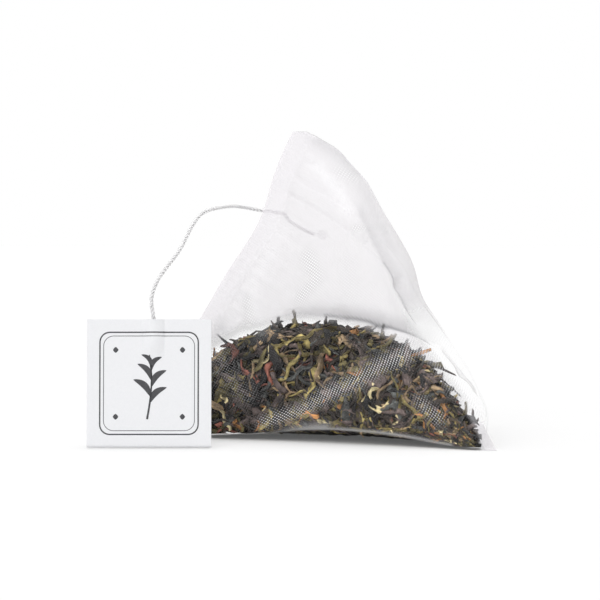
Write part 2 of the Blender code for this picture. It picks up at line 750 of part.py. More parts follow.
def tag_profile(x):
    """Outer and inner outline of the folded card at x, from the back ply's top to the front's."""
    bow = TAG_BOW * max(0.0, math.cos(math.pi * min(abs(x) / TAG_BOW_WIDTH, 0.5)))
    inner_half = TAG_SLIT / 2
    outer_half = inner_half + TAG_PLY
    outer = []
    inner = []
    levels = (TAG_HEIGHT, TAG_HEIGHT - TAG_BOW_LENGTH * 0.6, TAG_HEIGHT - TAG_BOW_LENGTH)
    for level, share in zip(levels, (1.0, 0.85, 0.0)):
        outer.append((outer_half + bow * share, level))
        inner.append((inner_half + bow * share, level))
    outer += [(outer_half, outer_half), (outer_half * 0.7, outer_half * 0.3)]
    inner += [(inner_half, outer_half), (inner_half * 0.7, TAG_PLY + inner_half * 0.3)]
    outer += [(-y, z) for y, z in reversed(outer)]
    inner += [(-y, z) for y, z in reversed(inner)]
    return outer, inner


def add_tag():
    """One card folded over at the bottom, its two plies bowed apart where the string goes in."""
    bm = bmesh.new()
    columns = []
    for x in tag_columns():
        outer, inner = tag_profile(x)
        columns.append(([bm.verts.new((x, y, z)) for y, z in outer],
                        [bm.verts.new((x, y, z)) for y, z in inner]))
    for (outer, inner), (next_outer, next_inner) in zip(columns, columns[1:]):
        loop = outer + inner[::-1]
        next_loop = next_outer + next_inner[::-1]
        for index in range(len(loop)):
            after = (index + 1) % len(loop)
            bm.faces.new((loop[index], loop[after], next_loop[after], next_loop[index]))
    for outer, inner in (columns[0], columns[-1]):
        for index in range(len(outer) - 1):
            bm.faces.new((outer[index], outer[index + 1], inner[index + 1], inner[index]))
    item = add_mesh_object("tag", bm, MATERIALS["card"], smooth=False)
    lean = Matrix.Rotation(-TAG_LEAN, 4, "X")
    item.data.transform(Matrix.Translation((STRING_X, TAG_Y, 0.0)) @ lean)
    lowest = min(vertex.co.z for vertex in item.data.vertices)
    item.data.transform(Matrix.Translation((0.0, 0.0, -lowest)))


def make_materials():
    return {
        "mesh": make_material("woven_mesh", (0.86, 0.85, 0.87), 0.45),
        "tea": make_material("dry_tea", (0.045, 0.036, 0.030), 0.75),
        "dark_leaf": make_material("dark_leaf", (0.05, 0.042, 0.036), 0.7),
        "olive_leaf": make_material("olive_leaf", (0.17, 0.16, 0.07), 0.7),
        "tan_leaf": make_material("tan_leaf", (0.30, 0.17, 0.07), 0.7),
        "cotton": make_material("cotton_string", (0.86, 0.86, 0.86), 0.85),
        "card": make_material("tag_card", (0.88, 0.89, 0.91), 0.6),
    }


clear_scene()
MATERIALS = make_materials()
add_pouch()
film_tree = pouch_tree()
heap_tree = add_heap(film_tree)
add_leaves(film_tree, heap_tree)
add_string()
add_string_tack()
add_tag()
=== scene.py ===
import math

import bmesh
import bpy
import numpy as np
from mathutils import Matrix, Vector, noise
from mathutils.bvhtree import BVHTree


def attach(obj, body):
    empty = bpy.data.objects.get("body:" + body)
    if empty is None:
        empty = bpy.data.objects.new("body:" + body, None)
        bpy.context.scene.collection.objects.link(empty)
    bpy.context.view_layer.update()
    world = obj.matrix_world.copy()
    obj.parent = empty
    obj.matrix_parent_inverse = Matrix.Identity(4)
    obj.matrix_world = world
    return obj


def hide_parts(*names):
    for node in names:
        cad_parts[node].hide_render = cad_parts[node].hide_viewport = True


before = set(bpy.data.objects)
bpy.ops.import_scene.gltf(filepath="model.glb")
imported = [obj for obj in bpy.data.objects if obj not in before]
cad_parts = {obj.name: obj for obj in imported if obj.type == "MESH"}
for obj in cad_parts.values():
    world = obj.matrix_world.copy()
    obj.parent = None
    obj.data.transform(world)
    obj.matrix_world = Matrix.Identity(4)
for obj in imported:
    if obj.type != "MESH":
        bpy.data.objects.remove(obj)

"""The looks of a pyramid tea bag: see-through woven film, loose curled tea, string and tag.

Metres, in the frame of the CAD part: the origin is on the floor, +Y points away from the viewer.
The film takes its form from the same functions and sizes as the part's own source. Only its front
edge is lifted a little nearer to the right, and its folds are finer.
Tube coordinates are (turn, v): turn runs round the film, with 0 at the apex, 1 at the front foot,
2 at the left foot and 3 at the back foot, and v runs from the upright seal to the floor seal.
"""
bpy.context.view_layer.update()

# Pouch: the flat width of the tube is the length of each seal
SEAL_LENGTH = 0.0583
SEAL_LEAN = math.radians(28.0)
FOOT_REACH = 0.0276
FOOT_YAW = math.radians(1.8)
FILM = 0.0003
FIN_WIDTH = 0.0030
FLOOR_FIN_WIDTH = 0.0024
CREST_BLUNTNESS = 0.64
FLANK_BLUNTNESS = 0.76
SQUARENESS = 2.15
APEX_ROOM = 0.0004

# Soft form: swells of the right-hand side and of the upright seal: height, spread, push along X
RIGHT_SWELL = 0.0030
RIGHT_FORMS = ((0.0500, 0.0024, 0.0044), (0.0465, 0.0060, 0.0018), (0.0310, 0.0060, -0.0009),
               (0.0235, 0.0050, -0.0029), (0.0165, 0.0050, -0.0018), (0.0040, 0.0035, 0.0013))
SEAL_BOWS = ((0.0360, 0.0080, 0.0023), (0.0220, 0.0090, 0.0012))
SIDE_BLEND = 0.020
APEX_BLEND = 0.005
ARCH_RISE = 0.0024
ARCH_REACH = 0.0090
ARCH_FADE = 0.0250
ARCH_SKEW = 1.15
PRESS_ROUNDING = 0.00025
PRESS_FADE = 0.0030
FLAT_BELOW = 0.00002

# Tea
TEA_PROFILE_X = (-0.0265, -0.0240, -0.0200, -0.0170, -0.0120, -0.0020, 0.0064, 0.0150, 0.0200,
                 0.0233, 0.0262, 0.0280)
TEA_PROFILE_Z = (-0.0040, 0.0095, 0.0118, 0.0134, 0.0163, 0.0184, 0.0174, 0.0142, 0.0106, 0.0062,
                 0.0008, -0.0040)
# What stands up past TIP_START keeps a share of its height: TIP_REST on the leaves that lie along
# the heap, which are LYING_SHARE of all, and STANDING_REST on the others
TIP_START = 0.0006
TIP_REST = 0.50
LYING_SHARE = 0.72
STANDING_REST = 0.95
TEA_LEFT_END = -0.0256
TEA_RIGHT_END = 0.0273
TEA_PEAK_Y = -0.010
TEA_FALL = 0.0036
TEA_FALL_REACH = 0.024
TEA_LUMP = 0.0007
TEA_LUMP_SIZE = 0.0035

# Film in the render: its fineness, its weave and its fins
FILM_COLUMNS = 336
FILM_ROWS = 190
WEAVE_PITCH = 0.00040
FIN_STEPS = 6
FIN_GAP = 0.00012
FIN_CRIMP = 0.00002
FIN_FLARE = 0.0003
WELD_DOT_PITCH = 0.0012
SEAL_GLOW = 0.006
CLEAR_OF_FLOOR = (0.0002, 0.0030)

# Folds: start and end in tube coordinates, push along the normal, half width
FOLDS = (
    ((1.02, 0.225), (0.83, 0.40), -0.0008, 0.0014),
    ((0.83, 0.40), (0.735, 0.52), -0.0013, 0.0013),
    ((0.735, 0.52), (0.53, 0.70), -0.0012, 0.0012),
    ((0.36, 0.32), (0.40, 0.51), -0.0008, 0.0011),
    ((0.40, 0.51), (0.49, 0.635), -0.0010, 0.0010),
    ((0.505, 0.757), (0.505, 0.83), -0.0006, 0.0010),
    ((0.505, 0.83), (0.46, 0.89), -0.0005, 0.0010),
    ((0.56, 0.76), (0.53, 0.88), 0.0003, 0.0006),
)

# Painted shade and painted highlights on the film, most of them in and beside the creases: a line in
# tube coordinates, its half width towards the apex and away from it, and how much darker (below 0,
# painted shade) or lighter (above 0, painted highlight) it is
LONG_CREASE = ((1.01, 0.245), (0.944, 0.277), (0.872, 0.345), (0.80, 0.421), (0.736, 0.501),
               (0.672, 0.579), (0.576, 0.663), (0.535, 0.70))
SIDE_CREASE = ((0.27, 0.25), (0.352, 0.351), (0.392, 0.411), (0.416, 0.517), (0.44, 0.577),
               (0.504, 0.625))
FOOT_CREASE = ((0.500, 0.755), (0.510, 0.791), (0.504, 0.827), (0.490, 0.860), (0.46, 0.888))
PAINTED_SHADE_AND_LIGHT = (
    (LONG_CREASE, 0.0018, 0.0003, -0.60),
    (LONG_CREASE[2:], 0.00050, 0.00042, -1.1),
    (LONG_CREASE[3:], 0.0001, 0.0009, 0.25),
    (SIDE_CREASE, 0.0020, 0.0004, -0.38),
    (SIDE_CREASE[2:], 0.00048, 0.00042, -0.70),
    (SIDE_CREASE[3:], 0.0001, 0.0006, 0.35),
    (FOOT_CREASE, 0.00070, 0.00055, -0.8),
    (((0.57, 0.765), (0.565, 0.80), (0.550, 0.84), (0.525, 0.875), (0.49, 0.90)),
     0.0004, 0.0004, 0.45),
    (((0.16, 0.063), (0.192, 0.109), (0.24, 0.161), (0.28, 0.197)), 0.0011, 0.0016, 0.50),
    (((0.12, 0.20), (0.20, 0.30), (0.28, 0.40)), 0.0016, 0.0016, -0.22),
    (((0.02, 0.03), (0.03, 0.10), (0.05, 0.16)), 0.0010, 0.0016, -0.35),
    (((0.62, 0.02), (0.92, 0.03), (1.20, 0.035)), 0.0022, 0.0022, 0.30),
    (((1.00, 0.06), (1.10, 0.12), (1.13, 0.16)), 0.0018, 0.0018, 0.35),
    (((1.25, 0.02), (1.45, 0.02)), 0.0016, 0.0016, -0.30),
    (((1.55, 0.49), (1.480, 0.549), (1.432, 0.593), (1.384, 0.639), (1.31, 0.703), (1.26, 0.75),
      (1.18, 0.827), (1.10, 0.905)), 0.00040, 0.00040, 0.90),
    (((1.91, 0.190), (1.85, 0.285), (1.74, 0.380), (1.60, 0.453), (1.50, 0.53)),
     0.0014, 0.0014, 0.85),
)

# Patches where the weave catches the light: a line in tube coordinates, half width, strength
GLINTS = (
    (((1.62, 0.33), (1.48, 0.405), (1.30, 0.46), (1.168, 0.515), (0.98, 0.57), (0.80, 0.64)),
     0.0014, 1.0),
    (((1.36, 0.05), (1.45, 0.12), (1.52, 0.22)), 0.0022, 0.35),
    (((1.02, 0.74), (1.03, 0.80)), 0.0014, 0.8),
    (((0.656, 0.167), (0.728, 0.247), (0.848, 0.235)), 0.0016, 0.9),
    (((0.36, 0.255), (0.208, 0.349)), 0.0007, 0.9),
    (((0.74, 0.64), (0.70, 0.70)), 0.0016, 1.0),
    (((0.752, 0.763), (0.808, 0.819), (0.824, 0.879)), 0.0016, 0.9),
    (((1.05, 0.06), (1.12, 0.10)), 0.0014, 0.7),
    (((0.55, 0.30), (0.68, 0.40)), 0.0022, 0.35),
    (((0.12, 0.13), (0.10, 0.16)), 0.0014, 0.6),
)

# Lap seam: the turn it starts at, its width in turns, its height and its slope
SEAM_EDGE = 0.30
SEAM_WIDTH = 0.085
SEAM_RISE = 0.00022
SEAM_SLOPE = 0.006

# Leaves
LEAF_RINGS = 9
LEAF_SIDES = 7
LEAF_SEED = 11
FRONT_LEAVES = 1250
BACK_LEAVES = 900
TOP_LEAVES = 1100
FRONT_DEPTHS = (0.00045, 0.0026)
BACK_DEPTHS = (0.00045, 0.0024)
LONGEST_LEAF = 0.0078
FILM_SPACE = 0.00022
INSIDE_ROUNDS = 4
FLOOR_SPACE = 0.0004
FRONT_ROOM = 0.0003
FRONT_ROOM_PLACE = (-0.0070, 0.0110)
FRONT_ROOM_REACH = (0.011, 0.004)

# Camera: distance from the plane of the upright seal, and the photograph's frame
CAMERA_DISTANCE = 0.450
CAMERA_ELEVATION = math.radians(1.6)
CAMERA_TARGET = (-0.0019, 0.0, 0.0232)
CAMERA_FOCAL_PIXELS = 2641.0
PHOTO_PIXELS = 600.0

# String and tag
STRING_DIAMETER = 0.0007
STRING_PLIES = 3
STRING_LAY = 0.0021
STRING_SIDES = 8
STRING_FINENESS = 0.00016
STRING_POINTS = (
    (-0.0256, -0.02252, 0.0169), (-0.0256, -0.0222, 0.0206), (-0.0260, -0.0217, 0.0239),
    (-0.0252, -0.0204, 0.0267), (-0.0239, -0.0189, 0.0288), (-0.0216, -0.0160, 0.0320),
    (-0.0196, -0.0125, 0.0361), (-0.0177, -0.0095, 0.0382), (-0.0140, -0.0050, 0.0391),
    (-0.0115, -0.0014, 0.0390), (-0.0093, 0.0006, 0.0386), (-0.0069, 0.0012, 0.0383),
    (-0.0049, 0.0016, 0.03795), (-0.0042, 0.0025, 0.03735), (-0.0036, 0.0037, 0.0366),
    (-0.0018, 0.00552, 0.03549), (0.00054, 0.00717, 0.03434),
)
TAG_WIDTH = 0.0201
TAG_HEIGHT = 0.0207
TAG_PLY = 0.0003
TAG_SLIT = 0.0003
TAG_X = -0.0263
TAG_Y = -0.0240
TAG_LEAN = math.radians(5.0)
STRING_X = STRING_POINTS[0][0]
TAG_BOW = 0.00063
TAG_BOW_WIDTH = 0.0036
TAG_BOW_LENGTH = 0.0072

# Print on the tag: distance from the card's edge and width of both border lines, and the leaves of
# the sprig: step of the stem they start at, side and length
PRINT_LIFT = 0.00002
PRINT_STEP = 0.0006
BORDERS = ((0.0021, 0.00022), (0.0027, 0.00010))
BORDER_CORNER = 0.0016
SPRIG = ((5, 1, 0.0037), (7, -1, 0.0039), (10, 1, 0.0036), (12, -1, 0.0035), (15, 1, 0.0028),
         (16, -1, 0.0026))
DOT_PLACE = 0.0054
DOT_SIZE = 0.0009

# Looks: how much each part of the film hides, its colours and those of its painted shade and painted
# highlights, where the milky veil starts above the tea, and the light
THREAD_ALPHA = 0.008
CROSS_ALPHA = 0.030
GLINT_ALPHA = 0.80
HAZE_ALPHA = 0.001
MILK_ALPHA = 0.42
SEAL_ALPHA = 0.05
PAINTED_SHADE_ALPHA = 0.26
PAINTED_LIGHT_ALPHA = 0.45
THREAD_COLOR = (0.66, 0.65, 0.67)
CROSS_COLOR = (0.78, 0.77, 0.79)
MILK_COLOR = (0.93, 0.905, 0.935)
PAINTED_HIGHLIGHT_COLOR = (0.97, 0.97, 0.98)
PAINTED_SHADE_COLOR = (0.16, 0.16, 0.175)
MILK_START = 0.0016
MILK_FULL = 0.0038
BACK_CLEAR = -0.0016
RIGHT_CLEAR = (0.015, 0.027)
WORLD_LIGHT = 0.50
FLOOR_WHITE = 0.088
FLOOR_DROP = 0.0001
FLOOR_REACH = 4.0


def gauss(value, centre, spread):
    return np.exp(-((value - centre) / spread) ** 2)


def ramp(value, low, high):
    share = np.clip((value - low) / (high - low), 0.0, 1.0)
    return share * share * (3.0 - 2.0 * share)


# The four corners: apex and left foot end the upright seal, front and back foot the floor seal
APEX = np.array((0.0, 0.0, SEAL_LENGTH * math.cos(SEAL_LEAN)))
LEFT_FOOT = np.array((-SEAL_LENGTH * math.sin(SEAL_LEAN), 0.0, 0.0))
SEAL_HALF = SEAL_LENGTH / 2
FOOT_DIRECTION = np.array((-math.sin(FOOT_YAW), -math.cos(FOOT_YAW), 0.0))
FLOOR_SEAL_MIDDLE = np.array((FOOT_REACH, 0.0, FILM))
UPRIGHT_SEAL_MIDDLE = (APEX + LEFT_FOOT) / 2
UPRIGHT_DIRECTION = (APEX - LEFT_FOOT) / SEAL_LENGTH
FRONT_FOOT = FLOOR_SEAL_MIDDLE + FOOT_DIRECTION * SEAL_HALF
TUBE_AXIS = FLOOR_SEAL_MIDDLE - UPRIGHT_SEAL_MIDDLE
TUBE_DIRECTION = TUBE_AXIS / np.linalg.norm(TUBE_AXIS)
APEX_HEIGHT = APEX[2]
TUBE_LENGTH = np.linalg.norm(TUBE_AXIS)
UP = np.array((0.0, 0.0, 1.0))
FLOOR_FIN_DIRECTION = np.cross(FOOT_DIRECTION, -UP)
BACK_FOOT = FLOOR_SEAL_MIDDLE - FOOT_DIRECTION * SEAL_HALF
HEAP_CENTRE = (LEFT_FOOT + FRONT_FOOT + BACK_FOOT) / 3


def running_length(points):
    steps = np.linalg.norm(np.diff(points, axis=0), axis=1)
    return np.concatenate(([0.0], np.cumsum(steps)))


def quarter_arc(upright, across, exponent):
    angle = np.linspace(0.0, math.pi / 2, 241)
    first = upright * np.cos(angle) ** (2 / exponent)
    second = across * np.sin(angle) ** (2 / exponent)
    return first, second, running_length(np.stack((first, second), axis=1))


def section_ring(v, turns):
    """Points of the tube's section at v, spaced along its film: turn 0 faces the apex."""
    exponent = SQUARENESS + v * (1 - v)
    upright = max((1 - v) ** CREST_BLUNTNESS, 1e-4)
    across = max(v ** FLANK_BLUNTNESS, 1e-4)
    length = quarter_arc(upright, across, exponent)[2]
    scale = SEAL_HALF / length[-1]
    upright = max(upright * scale, FILM)
    across = max(across * scale, FILM)
    first, second, length = quarter_arc(upright, across, exponent)
    share = length / length[-1]
    quarter = np.floor(turns).astype(int) % 4
    part = turns - np.floor(turns)
    part = np.where(quarter % 2 == 1, 1 - part, part)
    along = np.interp(part, share, first) * np.where((quarter == 1) | (quarter == 2), -1, 1)
    side = np.interp(part, share, second) * np.where(quarter >= 2, -1, 1)
    centre = UPRIGHT_SEAL_MIDDLE + TUBE_AXIS * v
    return centre + np.outer(along, UPRIGHT_DIRECTION) + np.outer(side, FOOT_DIRECTION)


def push_of(height, form):
    centre, spread, push = form
    return push * gauss(height, centre, spread)


def soften(points):
    """Swell the right side, bow the seal, lift the front edge and press to the floor."""
    points = points.copy()
    height = points[:, 2]
    level = np.clip(height / APEX_HEIGHT, 0.0, 1.0)
    from_seal = points[:, 0] - LEFT_FOOT[0] * (1 - level)
    blend = SIDE_BLEND + (APEX_BLEND - SIDE_BLEND) * level ** 3
    right = np.clip(from_seal / blend, 0.0, 1.0) ** 2
    swell = RIGHT_SWELL * np.sin(math.pi * level)
    for form in RIGHT_FORMS:
        swell = swell + push_of(height, form)
    bow = sum(push_of(height, form) for form in SEAL_BOWS)
    points[:, 0] += swell * right + bow * (1 - right)
    points[:, 2] = press_to_floor(points[:, 2]) + front_arch(points)
    height = np.minimum(points[:, 2], APEX_HEIGHT + APEX_ROOM)
    points[:, 2] = np.where(height < FLAT_BELOW, 0.0, height)
    return points


def press_to_floor(height):
    height = height - PRESS_ROUNDING * np.exp(-np.clip(height, 0.0, None) / PRESS_FADE)
    eased = (height + PRESS_ROUNDING) ** 2 / (4 * PRESS_ROUNDING)
    inside = np.where(height > PRESS_ROUNDING, height, eased)
    return np.where(height < -PRESS_ROUNDING, 0.0, inside)


def front_arch(points):
    """The middle of the front edge stands a little off the floor."""
    run = FRONT_FOOT - LEFT_FOOT
    length = np.linalg.norm(run[:2])
    ahead = np.array((run[1], -run[0])) / length
    relative = points[:, :2] - LEFT_FOOT[:2]
    share = np.clip(relative @ run[:2] / length ** 2, 0.0, 1.0) ** ARCH_SKEW
    inward = relative @ -ahead
    rise = ARCH_RISE * np.sin(math.pi * share) ** 2 * ramp(inward, ARCH_REACH, 0.0)
    return rise * np.exp(-points[:, 2] / ARCH_FADE)


def grid_normals(grid):
    across = np.roll(grid, -1, axis=1) - np.roll(grid, 1, axis=1)
    along = np.gradient(grid, axis=0)
    normals = np.cross(along, across)
    normals /= np.linalg.norm(normals, axis=2, keepdims=True) + 1e-12
    middle = len(grid) // 2
    outward = grid[middle] - grid[middle].mean(axis=0)
    if np.sum(normals[middle] * outward) < 0:
        normals = -normals
    return normals


def smooth_route(points, step):
    """Points at even steps on a smooth curve through the route's own points."""
    knots = np.array(points)
    knots = np.vstack((2 * knots[0] - knots[1], knots, 2 * knots[-1] - knots[-2]))
    t = np.arange(24)[:, None] / 24
    dense = []
    for a, b, c, d in zip(knots, knots[1:], knots[2:], knots[3:]):
        dense.append(0.5 * (2 * b + (c - a) * t + (2 * a - 5 * b + 4 * c - d) * t ** 2
                            + (3 * b - a - 3 * c + d) * t ** 3))
    dense = np.vstack(dense + [knots[-2]])
    lengths = running_length(dense)
    marks = np.linspace(0.0, lengths[-1], round(lengths[-1] / step) + 1)
    return np.stack([np.interp(marks, lengths, dense[:, axis]) for axis in range(3)], axis=1)


def new_object(name, data):
    item = bpy.data.objects.new(name, data)
    bpy.context.scene.collection.objects.link(item)
    return item


def seat_mesh(mesh, material, smooth=True, replaces=()):
    """An object that rides on the part, from a finished mesh and under its name."""
    mesh.materials.clear()
    mesh.materials.append(material)
    if smooth:
        mesh.shade_smooth()
    item = new_object(mesh.name, mesh)
    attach(item, "root")
    if replaces:
        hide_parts(*replaces)
    return item


def add_piece(name, points, faces, material, smooth=True, replaces=()):
    mesh = bpy.data.meshes.new(name)
    mesh.from_pydata([tuple(point) for point in points], [], faces)
    return seat_mesh(mesh, material, smooth, replaces)


def mesh_from(bm, name):
    mesh = bpy.data.meshes.new(name)
    bm.to_mesh(mesh)
    bm.free()
    return mesh


def finer_solid(node):
    """The mesh of a solid of the part, each edge cut in three."""
    bm = bmesh.new()
    bm.from_mesh(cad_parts[node].data)
    bmesh.ops.subdivide_edges(bm, edges=bm.edges, cuts=2, use_grid_fill=True)
    return bm


def tube_faces(rings, sides, base=0):
    """The quads of a closed tube, ring by ring."""
    faces = []
    for ring in range(rings - 1):
        for side in range(sides):
            low = base + ring * sides + side
            after = base + ring * sides + (side + 1) % sides
            faces.append((low, after, after + sides, low + sides))
    return faces


def nodes_of(name):
    """A new material, its node tree and its shader."""
    material = bpy.data.materials.new(name)
    material.use_nodes = True
    tree = material.node_tree
    return material, tree, tree.nodes["Principled BSDF"]


def add_node(tree, kind, **values):
    node = tree.nodes.new(kind)
    for key, value in values.items():
        setattr(node, key, value)
    return node


def feed(tree, socket, value):
    """Set a socket to a number or a colour, or link another node's output to it."""
    if isinstance(value, (int, float)):
        socket.default_value = value
    elif isinstance(value, tuple):
        socket.default_value = (*value, 1.0)
    else:
        tree.links.new(value, socket)


def math_node(tree, operation, first, second=0.0, clamp=False):
    node = add_node(tree, "ShaderNodeMath", operation=operation, use_clamp=clamp)
    feed(tree, node.inputs[0], first)
    feed(tree, node.inputs[1], second)
    return node.outputs[0]


def color_ramp(tree, fac, stops):
    node = add_node(tree, "ShaderNodeValToRGB")
    elements = node.color_ramp.elements
    while len(elements) < len(stops):
        elements.new(0.5)
    for element, (position, color) in zip(elements, stops):
        element.position = position
        element.color = (*color, 1.0)
    tree.links.new(fac, node.inputs["Fac"])
    return node.outputs["Color"]


def noise_node(tree, scale, detail=2.0):
    place = add_node(tree, "ShaderNodeTexCoord").outputs["Object"]
    node = add_node(tree, "ShaderNodeTexNoise")
    for name, value in (("Scale", scale), ("Detail", detail), ("Vector", place)):
        feed(tree, node.inputs[name], value)
    return node.outputs["Fac"]


def add_bump(tree, shader, height, strength, distance):
    bump = add_node(tree, "ShaderNodeBump")
    for name, value in (("Strength", strength), ("Distance", distance), ("Height", height)):
        feed(tree, bump.inputs[name], value)
    tree.links.new(bump.outputs["Normal"], shader.inputs["Normal"])


def attribute_node(tree, name):
    return add_node(tree, "ShaderNodeAttribute", attribute_name=name).outputs["Fac"]


def mix(tree, kind, share, first, second, blend="MIX"):
    node = add_node(tree, "ShaderNodeMix", data_type=kind, blend_type=blend)
    for name, value in (("Factor", share), ("A", first), ("B", second)):
        feed(tree, node.inputs[name], value)
    return node.outputs["Result"]


def film_material():
    """Plain-woven clear nylon: open between the threads, whitest where they cross, with painted
    highlights on the crossings in the glint patches.

    Above the tea the threads are seen against white, and the film there is an even milky veil.
    Painted shade and painted highlights come from the dark, light and glint values.
    """
    material, tree, shader = nodes_of("woven_film")
    uv = add_node(tree, "ShaderNodeUVMap", uv_map="weave")
    split = add_node(tree, "ShaderNodeSeparateXYZ")
    tree.links.new(uv.outputs["UV"], split.inputs[0])
    across, along = (wave(tree, split.outputs[axis]) for axis in (0, 1))
    either = math_node(tree, "MAXIMUM", across, along)
    both = math_node(tree, "MULTIPLY", across, along)
    seal, glint, milk, dark, light = (
        attribute_node(tree, name) for name in ("seal", "glint", "milk", "dark", "light"))
    thread = math_node(tree, "MULTIPLY", either, THREAD_ALPHA)
    crossing = math_node(tree, "MULTIPLY", glint, GLINT_ALPHA)
    crossing = math_node(tree, "MULTIPLY", math_node(tree, "ADD", crossing, CROSS_ALPHA), both)
    alpha = math_node(tree, "ADD", math_node(tree, "ADD", thread, crossing), HAZE_ALPHA)
    alpha = mix(tree, "FLOAT", milk, alpha, MILK_ALPHA)
    # The dark and light values, painted shade and painted highlights, also make the film more opaque
    for share, strength in ((seal, SEAL_ALPHA), (dark, PAINTED_SHADE_ALPHA), (light, PAINTED_LIGHT_ALPHA)):
        alpha = math_node(tree, "ADD", alpha, math_node(tree, "MULTIPLY", share, strength),
                          clamp=True)
    tree.links.new(alpha, shader.inputs["Alpha"])
    color = mix(tree, "RGBA", both, THREAD_COLOR, CROSS_COLOR)
    color = mix(tree, "RGBA", milk, color, MILK_COLOR)
    color = mix(tree, "RGBA", seal, color, MILK_COLOR)
    # Painted highlights: the crossings in the glint patches and the light lines go towards white
    bright = math_node(tree, "MULTIPLY", glint, both)
    color = mix(tree, "RGBA", math_node(tree, "MAXIMUM", bright, light), color, PAINTED_HIGHLIGHT_COLOR)
    # Painted shade: the dark lines go towards dark grey
    color = mix(tree, "RGBA", math_node(tree, "MULTIPLY", dark, 0.9), color, PAINTED_SHADE_COLOR)
    tree.links.new(color, shader.inputs["Base Color"])
    shader.inputs["Roughness"].default_value = 0.42
    shader.inputs["Specular IOR Level"].default_value = 0.2
    height = math_node(tree, "ADD", across, along)
    add_bump(tree, shader, height, 0.4, 0.00005)
    return material


def wave(tree, coordinate):
    """1 on the middle of each thread, 0 in the opening between two threads."""
    turns = math_node(tree, "MULTIPLY", coordinate, 2 * math.pi / WEAVE_PITCH)
    level = math_node(tree, "COSINE", turns)
    raised = math_node(tree, "ADD", level, 0.35)
    return math_node(tree, "MULTIPLY", raised, 1.4, clamp=True)


def leaf_material():
    """Dry tea leaf: each piece has its own colour, with flecks, a grain and a dull sheen."""
    material, tree, shader = nodes_of("dry_leaf")
    tone = add_node(tree, "ShaderNodeAttribute", attribute_name="leaf_color")
    grain = noise_node(tree, 2600.0, 4.0)
    fleck = noise_node(tree, 900.0)
    shade = color_ramp(tree, fleck, ((0.32, (0.45, 0.45, 0.45)), (0.68, (1.5, 1.5, 1.5))))
    color = mix(tree, "RGBA", 1.0, tone.outputs["Color"], shade, "MULTIPLY")
    tree.links.new(color, shader.inputs["Base Color"])
    shader.inputs["Roughness"].default_value = 0.62
    shader.inputs["Specular IOR Level"].default_value = 0.35
    add_bump(tree, shader, grain, 0.6, 0.0002)
    return material


def plain_material(name, dark, light, scale, roughness, bump_distance):
    """A matt material whose colour wanders between two near tones."""
    material, tree, shader = nodes_of(name)
    grain = noise_node(tree, scale, 5.0)
    color = color_ramp(tree, grain, ((0.3, dark), (0.7, light)))
    tree.links.new(color, shader.inputs["Base Color"])
    shader.inputs["Roughness"].default_value = roughness
    add_bump(tree, shader, grain, 0.4, bump_distance)
    return material


def let_light_through(material, weight, reach):
    """White cotton and clear nylon glow a little from the light behind them."""
    shader = material.node_tree.nodes["Principled BSDF"]
    shader.inputs["Subsurface Weight"].default_value = weight
    shader.inputs["Subsurface Radius"].default_value = (1.0, 1.0, 1.0)
    shader.inputs["Subsurface Scale"].default_value = reach


def fin_rows(turns, middle, seal_direction, thickness_direction, tip_turn, outward):
    """Rows of one fin from its outer edge to its weld: two layers of film, crimped all the way."""
    from_tip = np.abs((turns - tip_turn + 2) % 4 - 2)
    flat = middle + np.outer(SEAL_HALF * (1 - from_tip), seal_direction)
    layer = np.where((turns - tip_turn) % 4 < 2, 1.0, -1.0)
    crimp = FIN_CRIMP * np.cos(turns * SEAL_HALF * 2 * math.pi / WELD_DOT_PITCH)
    rows = []
    for step in range(FIN_STEPS):
        share = 1 - step / FIN_STEPS
        spread = layer * (FIN_GAP + crimp + FIN_FLARE * max(0.0, share - 0.7))
        rows.append(soften(flat + outward * share + np.outer(spread, thickness_direction)))
    return rows


def stroke_share(places, line, above, below):
    """1 on a line drawn on the film, fading over one half width on each side of it."""
    size = np.array((SEAL_HALF, TUBE_LENGTH))
    knots = np.array(line) * size
    nearest = np.full(len(places), 1.0)
    share = np.zeros(len(places))
    for first, last in zip(knots, knots[1:]):
        run = last - first
        along = np.clip((places - first) @ run / (run @ run), 0.0, 1.0)
        offset = places - first - np.outer(along, run)
        away = np.linalg.norm(offset, axis=1)
        side = run[0] * offset[:, 1] - run[1] * offset[:, 0]
        width = np.where(side > 0, above, below)
        closer = away < nearest
        share = np.where(closer, np.exp(-(away / width) ** 2), share)
        nearest = np.where(closer, away, nearest)
    return share


def fold_push(turns, v):
    """How far the film is pushed out by its folds and its lap seam."""
    film = np.stack((turns * SEAL_HALF, np.full_like(turns, v) * TUBE_LENGTH), axis=1)
    seam = ramp(turns, SEAM_EDGE, SEAM_EDGE + SEAM_SLOPE)
    seam *= 1 - ramp(turns, SEAM_EDGE + SEAM_WIDTH, SEAM_EDGE + SEAM_WIDTH + SEAM_SLOPE)
    push = SEAM_RISE * seam
    for start, end, depth, half_width in FOLDS:
        push += depth * stroke_share(film, (start, end), half_width, half_width)
    return push


def painted_shade_and_highlights(places):
    """Painted shade, painted highlight and glint (painted highlight on the weave) values for each
    point of the film.
    """
    dark, light, glint = np.zeros((3, len(places)))
    for line, above, below, strength in PAINTED_SHADE_AND_LIGHT:
        tone = dark if strength < 0 else light
        share = stroke_share(places, line, above, below)
        np.maximum(tone, share * abs(strength), out=tone)
    for line, width, strength in GLINTS:
        np.maximum(glint, strength * stroke_share(places, line, width, width), out=glint)
    return dark, light, glint


def milk_values(points, places):
    """How milky the film is: not where it lies on the tea or is close to it."""
    turn = places[:, 0] / SEAL_HALF
    v = np.clip(places[:, 1] / TUBE_LENGTH, 0.0, 1.0)
    right = ramp(np.abs((turn + 2) % 4 - 2) - v, 0.08, -0.08)
    back = ramp(turn - 2 - v, -0.05, 0.05) * ramp(4 - v - turn, -0.05, 0.05)
    tea = np.interp(points[:, 0], TEA_PROFILE_X, TEA_PROFILE_Z) + BACK_CLEAR * back
    milk = ramp(points[:, 2] - tea, MILK_START, MILK_FULL)
    return milk + (ramp(points[:, 2], *RIGHT_CLEAR) - milk) * right


